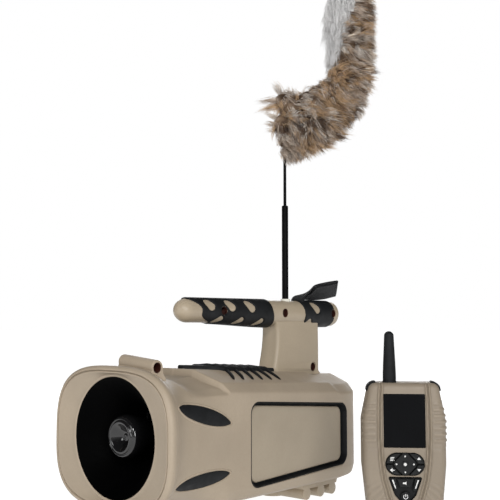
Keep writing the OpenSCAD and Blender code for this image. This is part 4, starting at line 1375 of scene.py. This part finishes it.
def plate(outline, y0, y1, round_by=0.0, steps=3):
    """A slab of the outline from y1 forward to y0, with its front edge rounded."""
    rings = [at_y(y1, outline)]
    for a in np.linspace(0, math.pi / 2, steps + 1):
        ring = drawn_in(outline, round_by * (1 - math.cos(a)))
        rings.append(at_y(y0 + round_by * (1 - math.sin(a)), ring))
    centre = outline.mean(0)
    return loft(rings + [at_y(y0, centre + (ring - centre) * 0.96)])


def front_relief(x, z):
    """Depth of the remote's face: its rounded edge, the paired ribs and the thumb ridges."""
    edge = edge_distance(np.stack([x.ravel(), z.ravel()], axis=1), REMOTE_EDGE).reshape(x.shape)
    depth = 6 - np.sqrt(36 - np.clip(6 - edge, 0, 6) ** 2)
    rib = np.interp(z, [0, 10, 30, 48, 66, 90, 120, 141], [4, 9, 17, 22, 24.4, 25.6, 25.4, 24])
    off = np.abs(x) - rib
    depth -= 1.5 * np.exp(-(np.abs(off) / 0.85) ** 3)
    depth -= 1.1 * np.exp(-(np.abs(off + 3.2) / 0.7) ** 3)
    depth += 0.5 * np.exp(-((off + 1.6) / 0.7) ** 2)
    depth += 0.7 * smooth_step(-off, 3.4, 5) + 0.07 * np.clip(off, 0, 20)
    ridged = smooth_step(off, 2.0, 3.4) * smooth_step(z, 80, 84) * (1 - smooth_step(z, 120, 124))
    depth -= 0.6 * ridged * np.clip(np.sin(2 * math.pi * z / 6.0) * 1.6, -0.6, 1)
    fan = smooth_step(off, 1.5, 3) * (1 - smooth_step(z, 40, 48))
    turn = np.arctan2(z - 62, np.abs(x) + 6)
    depth -= 0.35 * fan * np.clip(np.sin(turn * 46) * 1.5, -1, 1)
    return depth - 0.55 * smooth_step(off, 1.5, 3.0) * (1 - smooth_step(z, 76, 78))


def build_remote_front():
    rows, cols = 190, 121
    size, back_y = rows * cols, REMOTE_THICK / 2
    rise = np.linspace(0, 1, rows)
    z = (0.65 * (1 - np.cos(math.pi * rise)) / 2 + 0.35 * rise) * 140.6 + 0.2
    s = np.linspace(-1, 1, cols)
    s = np.sign(s) * (1 - (1 - np.abs(s)) ** 1.25)
    x = half_width(z)[:, None] * s * 0.999
    zz = z[:, None] * np.ones(cols)
    verts = np.stack([x, front_relief(x, zz), zz], axis=2).reshape(-1, 3)
    faces = grid_faces(rows, cols)
    edge = [*range(cols), *range(2 * cols - 1, size, cols),
            *range(size - 2, size - cols - 1, -1), *range(size - 2 * cols, 0, -cols)]
    back = verts[edge].copy()
    back[:, 1] = back_y
    for i, at in enumerate(edge):
        j = (i + 1) % len(edge)
        faces += [(at, edge[j], size + j, size + i), (size + j, size + len(edge), size + i)]
    verts = np.vstack([verts, back, [(0, back_y, 70)]])
    front = make_object("remote_front_skin", *at_remote((verts, faces)))
    window = rect(0, SCREEN_Z, 20.35, SCREEN_H / 2 + 0.1, 1.2)
    for outline, floor in ((window, 3.0), (PAD_EDGE, 4.0), (SHIELD_EDGE, 4.0)):
        boolean(front, at_remote(plate(outline, -5, floor)))
    finish_piece(front, "remote", "tan_remote", ["remote_front"], sharp=34)
    lips = []
    for outline in (PAD_EDGE, SHIELD_EDGE):
        inner = shrunk(outline, 0.965)
        lips.append(loft([at_y(y, ring) for ring, y in (
            (outline, 3.9), (outline, 0.1), (outline * 0.5 + inner * 0.5, -0.25),
            (inner, 0.1), (inner, 3.9))], "joined"))
        lips.append(plate(inner, 3.3, 3.9))
    piece("remote_key_wells", at_remote(merge(*lips)), "remote", "key_rubber", sharp=40)


PAD_EDGE = hull_outline(both([(8.0, PAD_Z, 11.0)]))
SHIELD_EDGE = hull_outline(both([(14.6, BAR_Z - 0.6, 1.4), (8.6, POWER_Z + 2, 2.0),
                                 (2.0, POWER_Z - 1.4, 4.6)]))


def key_cap(name, outline, height, dish=0.25):
    """A moulded key: rounded top edge and a slightly dished face."""
    outline = resampled(outline, 72)
    rings = [at_y(1.0, outline)]
    for inset, y in ((0, 0.7), (0.12, 0.35), (0.4, 0.08), (0.8, 0), (1.3, 0.06),
                     (2.2, dish * 0.7)):
        rings.append(at_y(y - height, drawn_in(outline, inset)))
    rings.append(at_y(dish - height, shrunk(outline, 0.15)))
    piece(name + "_cap", at_remote(loft(rings)), "body_" + name, "key_rubber", [name], sharp=50)


def key_outlines():
    """Outline of each key, seen from the front, in the remote's own x and z."""
    ring = hull_outline([(-7, PAD_Z, 4), (7, PAD_Z, 4), (0, PAD_Z - 6.5, 4.4),
                         (0, PAD_Z + 6.5, 4.4)])
    keys = {"key_ring": ring, "key_select": circle(0, PAD_Z, 3.5),
            "key_power": circle(0, POWER_Z, 4.6)}
    pad = resampled(hull_outline(both([(8.0, PAD_Z, 10.2)])), 400)
    pad = pad[edge_distance(pad, ring) < -1.1]
    for name, s, k in (("key_menu", -1, 1), ("key_back", -1, -1), ("key_up", 1, 1),
                       ("key_down", 1, -1)):
        outer, inner = ((line - [0, PAD_Z]) * [s, k] for line in (pad, ring))
        outer = outer[(outer[:, 0] > 4.2) & (outer[:, 1] > 0.6)]
        inner = inner[(inner[:, 0] > 4.0) & (inner[:, 1] > -0.4)]
        inner += unit(inner) * 1.1
        inner[:, 1] = np.maximum(inner[:, 1], 0.6)
        outer, inner = (line[np.argsort(np.arctan2(line[:, 1], line[:, 0]))]
                        for line in (outer, inner))
        keys[name] = np.vstack([outer, inner[::-1]]) * [s, k] + [0, PAD_Z]
    for name, s in (("key_left", -1), ("key_right", 1)):
        keys[name] = np.array([(s * 9.4, BAR_Z - 0.4), (s * 14.8, BAR_Z - 0.4),
                               (s * 10.2, BAR_Z - 12.6), (s * 7.0, BAR_Z - 12.6)])
    keys["key_mute"] = np.array([(-8.0, BAR_Z - 1), (8.0, BAR_Z - 1), (5.6, BAR_Z - 9),
                                 (-5.6, BAR_Z - 9)])
    return keys


def icon(points, y, thick=0.12):
    return plate(points, y - thick, y + 0.3, 0.05, 1)


def build_keys():
    for name, outline in key_outlines().items():
        key_cap(name, outline, KEY_RISE + HIGHER_KEYS.get(name, 0))
    y = -KEY_RISE + 0.2
    triangle = np.array([(-1.9, -1.1), (1.9, -1.1), (0, 1.5)])
    marks = {
        "key_menu": [rect(-12.4, PAD_Z + 5.0 + 1.4 * i, 2.0, 0.4, 0.2, 2) for i in (-1, 0, 1)],
        "key_back": [(triangle[:, ::-1] * [-1, 1] + [-13.4, PAD_Z - 5.6])[::-1],
                     rect(-11.0, PAD_Z - 5.6, 1.2, 0.4, 0.2, 2)],
        "key_up": [triangle + [13.2, PAD_Z + 5.6]],
        "key_down": [(triangle * [1, -1] + [13.2, PAD_Z - 5.4])[::-1]],
        "key_ring": [circle(x, PAD_Z + z, 0.8, 12)
                     for x, z in ((0, 7.6), (0, -7.6), (-8.4, 0), (8.4, 0))],
        "key_left": [np.add([(-13.1, -1.8), (-11.8, -1.8), (-9.0, -10), (-10.0, -10)],
                            [0, BAR_Z])],
        "key_right": [np.add([(11.8, -1.8), (13.1, -1.8), (10.0, -10), (9.0, -10)], [0, BAR_Z])],
        "key_mute": [rect(-1.6, BAR_Z - 5, 0.9, 0.8, 0.1, 2),
                     np.add([(0.9, -3.3), (0.9, -6.7), (-0.7, -5.6), (-0.7, -4.4)], [0, BAR_Z])],
        "key_power": [rect(0, POWER_Z + 1, 0.32, 1.5, 0.2, 2)],
        "key_select": [circle(0, PAD_Z, 1.5, 24)],
    }
    ring = [[(r * math.sin(a), y - 0.2 + d, POWER_Z - 0.2 + r * math.cos(a))
             for r, d in ((2.3, 0.3), (2.3, -0.12), (1.8, -0.12), (1.8, 0.3))]
            for a in np.linspace(0.6, 2 * math.pi - 0.6, 24)]
    shapes = [(name, name, merge(*[icon(p, y - HIGHER_KEYS.get(name, 0)) for p in outlines]))
              for name, outlines in marks.items()]
    shapes.insert(-1, ("key_power_ring", "key_power", loft(ring)))
    for name, key, shape in shapes:
        piece(name + "_mark", at_remote(shape), "body_" + key, "key_rubber",
              material=print_material)


def build_screen():
    edge = rect(0, SCREEN_Z, 20.1, SCREEN_H / 2 - 0.2, 0.9)
    piece("remote_screen_glass", at_remote(plate(edge, 0.8, 3.0, 0.25, 2)), "remote", "screen",
          ["remote_screen"], sharp=50)


def build_antenna():
    top = box_mm("remote_antenna")[1][2]
    line = [(0.01, 139.6), (6.2, 139.6), (6.9, 140.6), (6.9, 141.8), (6.4, 143.0), (6.55, 143.6),
            (6.5, 150), (6.1, 160), (5.5, 172), (5.0, 182)]
    line += [(4.9 * math.cos(a), top - 4.9 + 4.9 * math.sin(a))
             for a in np.linspace(0.25, math.pi / 2 - 0.02, 9)]
    piece("remote_antenna_skin", at_remote(revolve(line, 48, "z", (-13, REMOTE_THICK / 2, 0))),
          "remote", "black_rubber", ["remote_antenna"], sharp=35)


def build_remote_edges():
    """Corner bumpers, and the tan rails with thumb ridges down both sides."""
    section = [(-8.6, -0.8), (-8.6, 0.6), (-7.2, 1.5), (7.2, 1.5), (8.6, 0.6), (8.6, -0.8)]
    count = np.arange(22)
    taper = np.clip(np.minimum(count, count[::-1]) / 2.5 + 0.45, 0, 1)
    turn = np.linspace(-0.1, math.pi / 2 + 0.1, 22)
    z = np.linspace(26, 126, 320)
    ridge = 0.8 * np.clip(np.sin(2 * math.pi * z / 6.0) * 1.8, -0.15, 1)
    zone = smooth_step(z, 82, 84) * (1 - smooth_step(z, 118, 121))
    lift = 0.2 + ridge * zone + 0.5 * smooth_step(z, 78, 79.5)
    lift *= smooth_step(z, 26, 28) * (1 - smooth_step(z, 123.5, 126))
    edge = half_width(z) - 0.4

    def bumper(s):
        out = np.column_stack([s * np.cos(turn), 0 * turn, np.sin(turn)])
        path = out * 7.7 + [s * 27.6, 16, 133.2]
        return sweep(path, [np.array([0, 1.0, 0])] * 22, out, section, taper)

    def rail(s):
        return loft(np.stack([np.column_stack([s * x, y + 0 * z, z]) for x, y in (
            (edge - 0.8, 6.4), (edge + lift * 0.7, 6.6), (edge + lift + 0.15, 8.2),
            (edge + lift + 0.3, 15), (edge + lift + 0.15, 22.4), (edge + lift * 0.7, 23.8),
            (edge - 0.8, 24))], axis=1))

    for name, shape, slot, node, sharp in (
            ("remote_bumper_", bumper, "black_rubber", "remote_bumpers", 40),
            ("remote_rail_", rail, "remote_rubber", "remote_side_strips", 45)):
        for s, side in ((-1, "left"), (1, "right")):
            piece(name + side, at_remote(shape(s)), "remote", slot, [node] if s > 0 else [],
                  sharp=sharp)


def build_remote():
    build_remote_front()
    softened("remote_back", 2.2, 4)
    softened("remote_battery_door", 0.3)
    build_screen()
    build_keys()
    build_antenna()
    build_remote_edges()


# ---- everything else

def build_small_parts():
    for node, width, segments in (
            ("rear_panel", 0.5, 2), ("battery_door", 0.5, 2), ("volume_knob", 0.35, 2),
            ("power_button", 0.4, 2), ("speaker_jack", 0.25, 2), ("port_cover", 0.45, 2),
            ("tripod_bracket", 0.8, 3), ("front_feet", 0.7, 3), ("driver_magnet", 0.6, 2),
            ("decoy_motor", 0.5, 2)):
        softened(node, width, segments)


def build_screw_heads():
    """Sunk screw heads with a cross slot, at the bottom of each bore."""
    heads = at_bores([(0.01, -5.4), (4.5, -5.4), (4.5, -4.9), (2.9, -4.1), (1.3, -3.85),
                      (0.01, -3.8)], 28)
    obj = make_object("case_screw_heads", *merge(*heads))
    for y, z, mouth in BORES:
        for a, b in ((1.9, 0.36), (0.36, 1.9)):
            slot = [(y - a, z - b), (y + a, z - b), (y + a, z + b), (y - a, z + b)]
            boolean(obj, loft([at_x(mouth - 4.4, slot), at_x(mouth - 2.9, slot)]))
    taper_object(obj)
    finish_piece(obj, "caller", "screw_dark")


# ---- studio

# Name, place, size, power in W, and the point that it faces
LAMPS = [
    ("key_lamp", (0.1, -1.5, 0.6), (0.4, 0.55), 3.2, (0.02, -0.08, 0.12)),
    ("side_lamp", (1.4, -0.85, 0.55), (0.5, 0.6), 8.5, (0.05, -0.05, 0.12)),
    ("fur_lamp", (0.9, -1.2, 1.0), (0.3, 0.3), 4.8, (0.05, 0.04, 0.62)),
    ("neck_lamp", (-0.85, 0.3, 1.05), (0.5, 0.5), 1.0, (0.0, -0.16, 0.14)),
    ("back_card", (-1.0, 1.25, 0.42), (1.5, 0.8), 13.0, (0.0, -0.1, 0.15)),
]
TABLE = 14.0  # half its width, m


def build_stage():
    """A pale table top big enough to fade out of sight, and the lamps."""
    mesh = bpy.data.meshes.new("table_top")
    mesh.from_pydata([(TABLE * x, TABLE * y, 0) for x, y in ((-1, -1), (1, -1), (1, 1), (-1, 1))],
                     [], [(0, 1, 2, 3)])
    table = linked("table_top", mesh)
    n = Nodes("table_white")
    tone = n.ramp(n.noise(6, 3), [(0.3, 0.38), (0.7, 0.42)])
    mesh.materials.append(n.set(color=tone, rough=0.8, specular=0.0, emit=0.92))
    n.tree.nodes["Principled BSDF"].inputs["Emission Color"].default_value = WHITE
    table.visible_diffuse = False
    for name, place, size, power, aim in LAMPS:
        light = bpy.data.lights.new(name, "AREA")
        light.shape = "RECTANGLE"
        light.size, light.size_y = size
        light.energy = power
        lamp = linked(name, light)
        lamp.location = place
        lamp.rotation_euler = (Vector(aim) - Vector(place)).to_track_quat("-Z", "Y").to_euler()
        lamp.visible_camera = False


def build_world():
    """A sky that the camera sees as white. To all else it is grey, darkest overhead, brighter
    on the photo's right, and dimmer still where it is mirrored."""
    world = bpy.data.worlds.new("studio")
    bpy.context.scene.world = world
    world.use_nodes = True
    world.node_tree.nodes.clear()
    n = Nodes("studio", world)
    way = n.places["Generated"]
    rays = n.add("ShaderNodeLightPath").outputs
    height = n.add("ShaderNodeSeparateXYZ", {0: way}).outputs["Z"]
    level = n.add("ShaderNodeMapRange", {"Value": height, 1: -1.0}).outputs["Result"]
    fade = n.ramp(level, [(0.0, 0.60), (0.42, 0.66), (0.52, 0.68), (0.62, 0.56), (0.95, 0.18)])
    facing = n.add("ShaderNodeVectorMath", {0: way, 1: (0.30, -0.30, 0)},
                   operation="DOT_PRODUCT").outputs["Value"]
    total = n.math("ADD", fade, n.math("MULTIPLY_ADD", facing, fade, 0.0))
    dimmed = n.math("MULTIPLY_ADD", rays["Is Glossy Ray"], -0.55, total)
    soft = n.add("ShaderNodeBackground", {0: WHITE, 1: n.math("MAXIMUM", dimmed, 0.05)})
    seen = n.add("ShaderNodeBackground", {0: WHITE, 1: 1.0})
    both_skies = n.add("ShaderNodeMixShader", {
        "Fac": rays["Is Camera Ray"], 1: soft.outputs[0], 2: seen.outputs[0]})
    n.add("ShaderNodeOutputWorld", {"Surface": both_skies.outputs[0]})
    bpy.context.scene.view_settings.view_transform = "Standard"


def build_camera():
    data = bpy.data.cameras.new("photo_camera")
    data.lens = 62.64
    data.sensor_width = 36
    data.clip_start, data.clip_end = 0.01, 50
    camera = linked("photo_camera", data)
    camera.location = (0.6694, -0.7943, 0.2027)
    camera.rotation_euler = (math.radians(94.6), 0, math.radians(41.6))
    bpy.context.scene.camera = camera


# painted shade: dark red-brown for the shaded insides of the screw bores
bore_shade_material = moulded("bore_lining", (0.05, 0.013, 0.008), rough=0.5, tone=0.2)
print_material = moulded("key_print", (0.72, 0.72, 0.7), rough=0.5, tone=0.04)

for build in (build_case, build_side_panels, build_ovals, build_bezel, build_screw_tube, build_horn,
              build_reflector, build_deck_pad, build_handle, build_grips, build_strap, build_rod,
              build_fur, build_remote, build_small_parts, build_screw_heads, build_stage,
              build_world, build_camera):
    build()
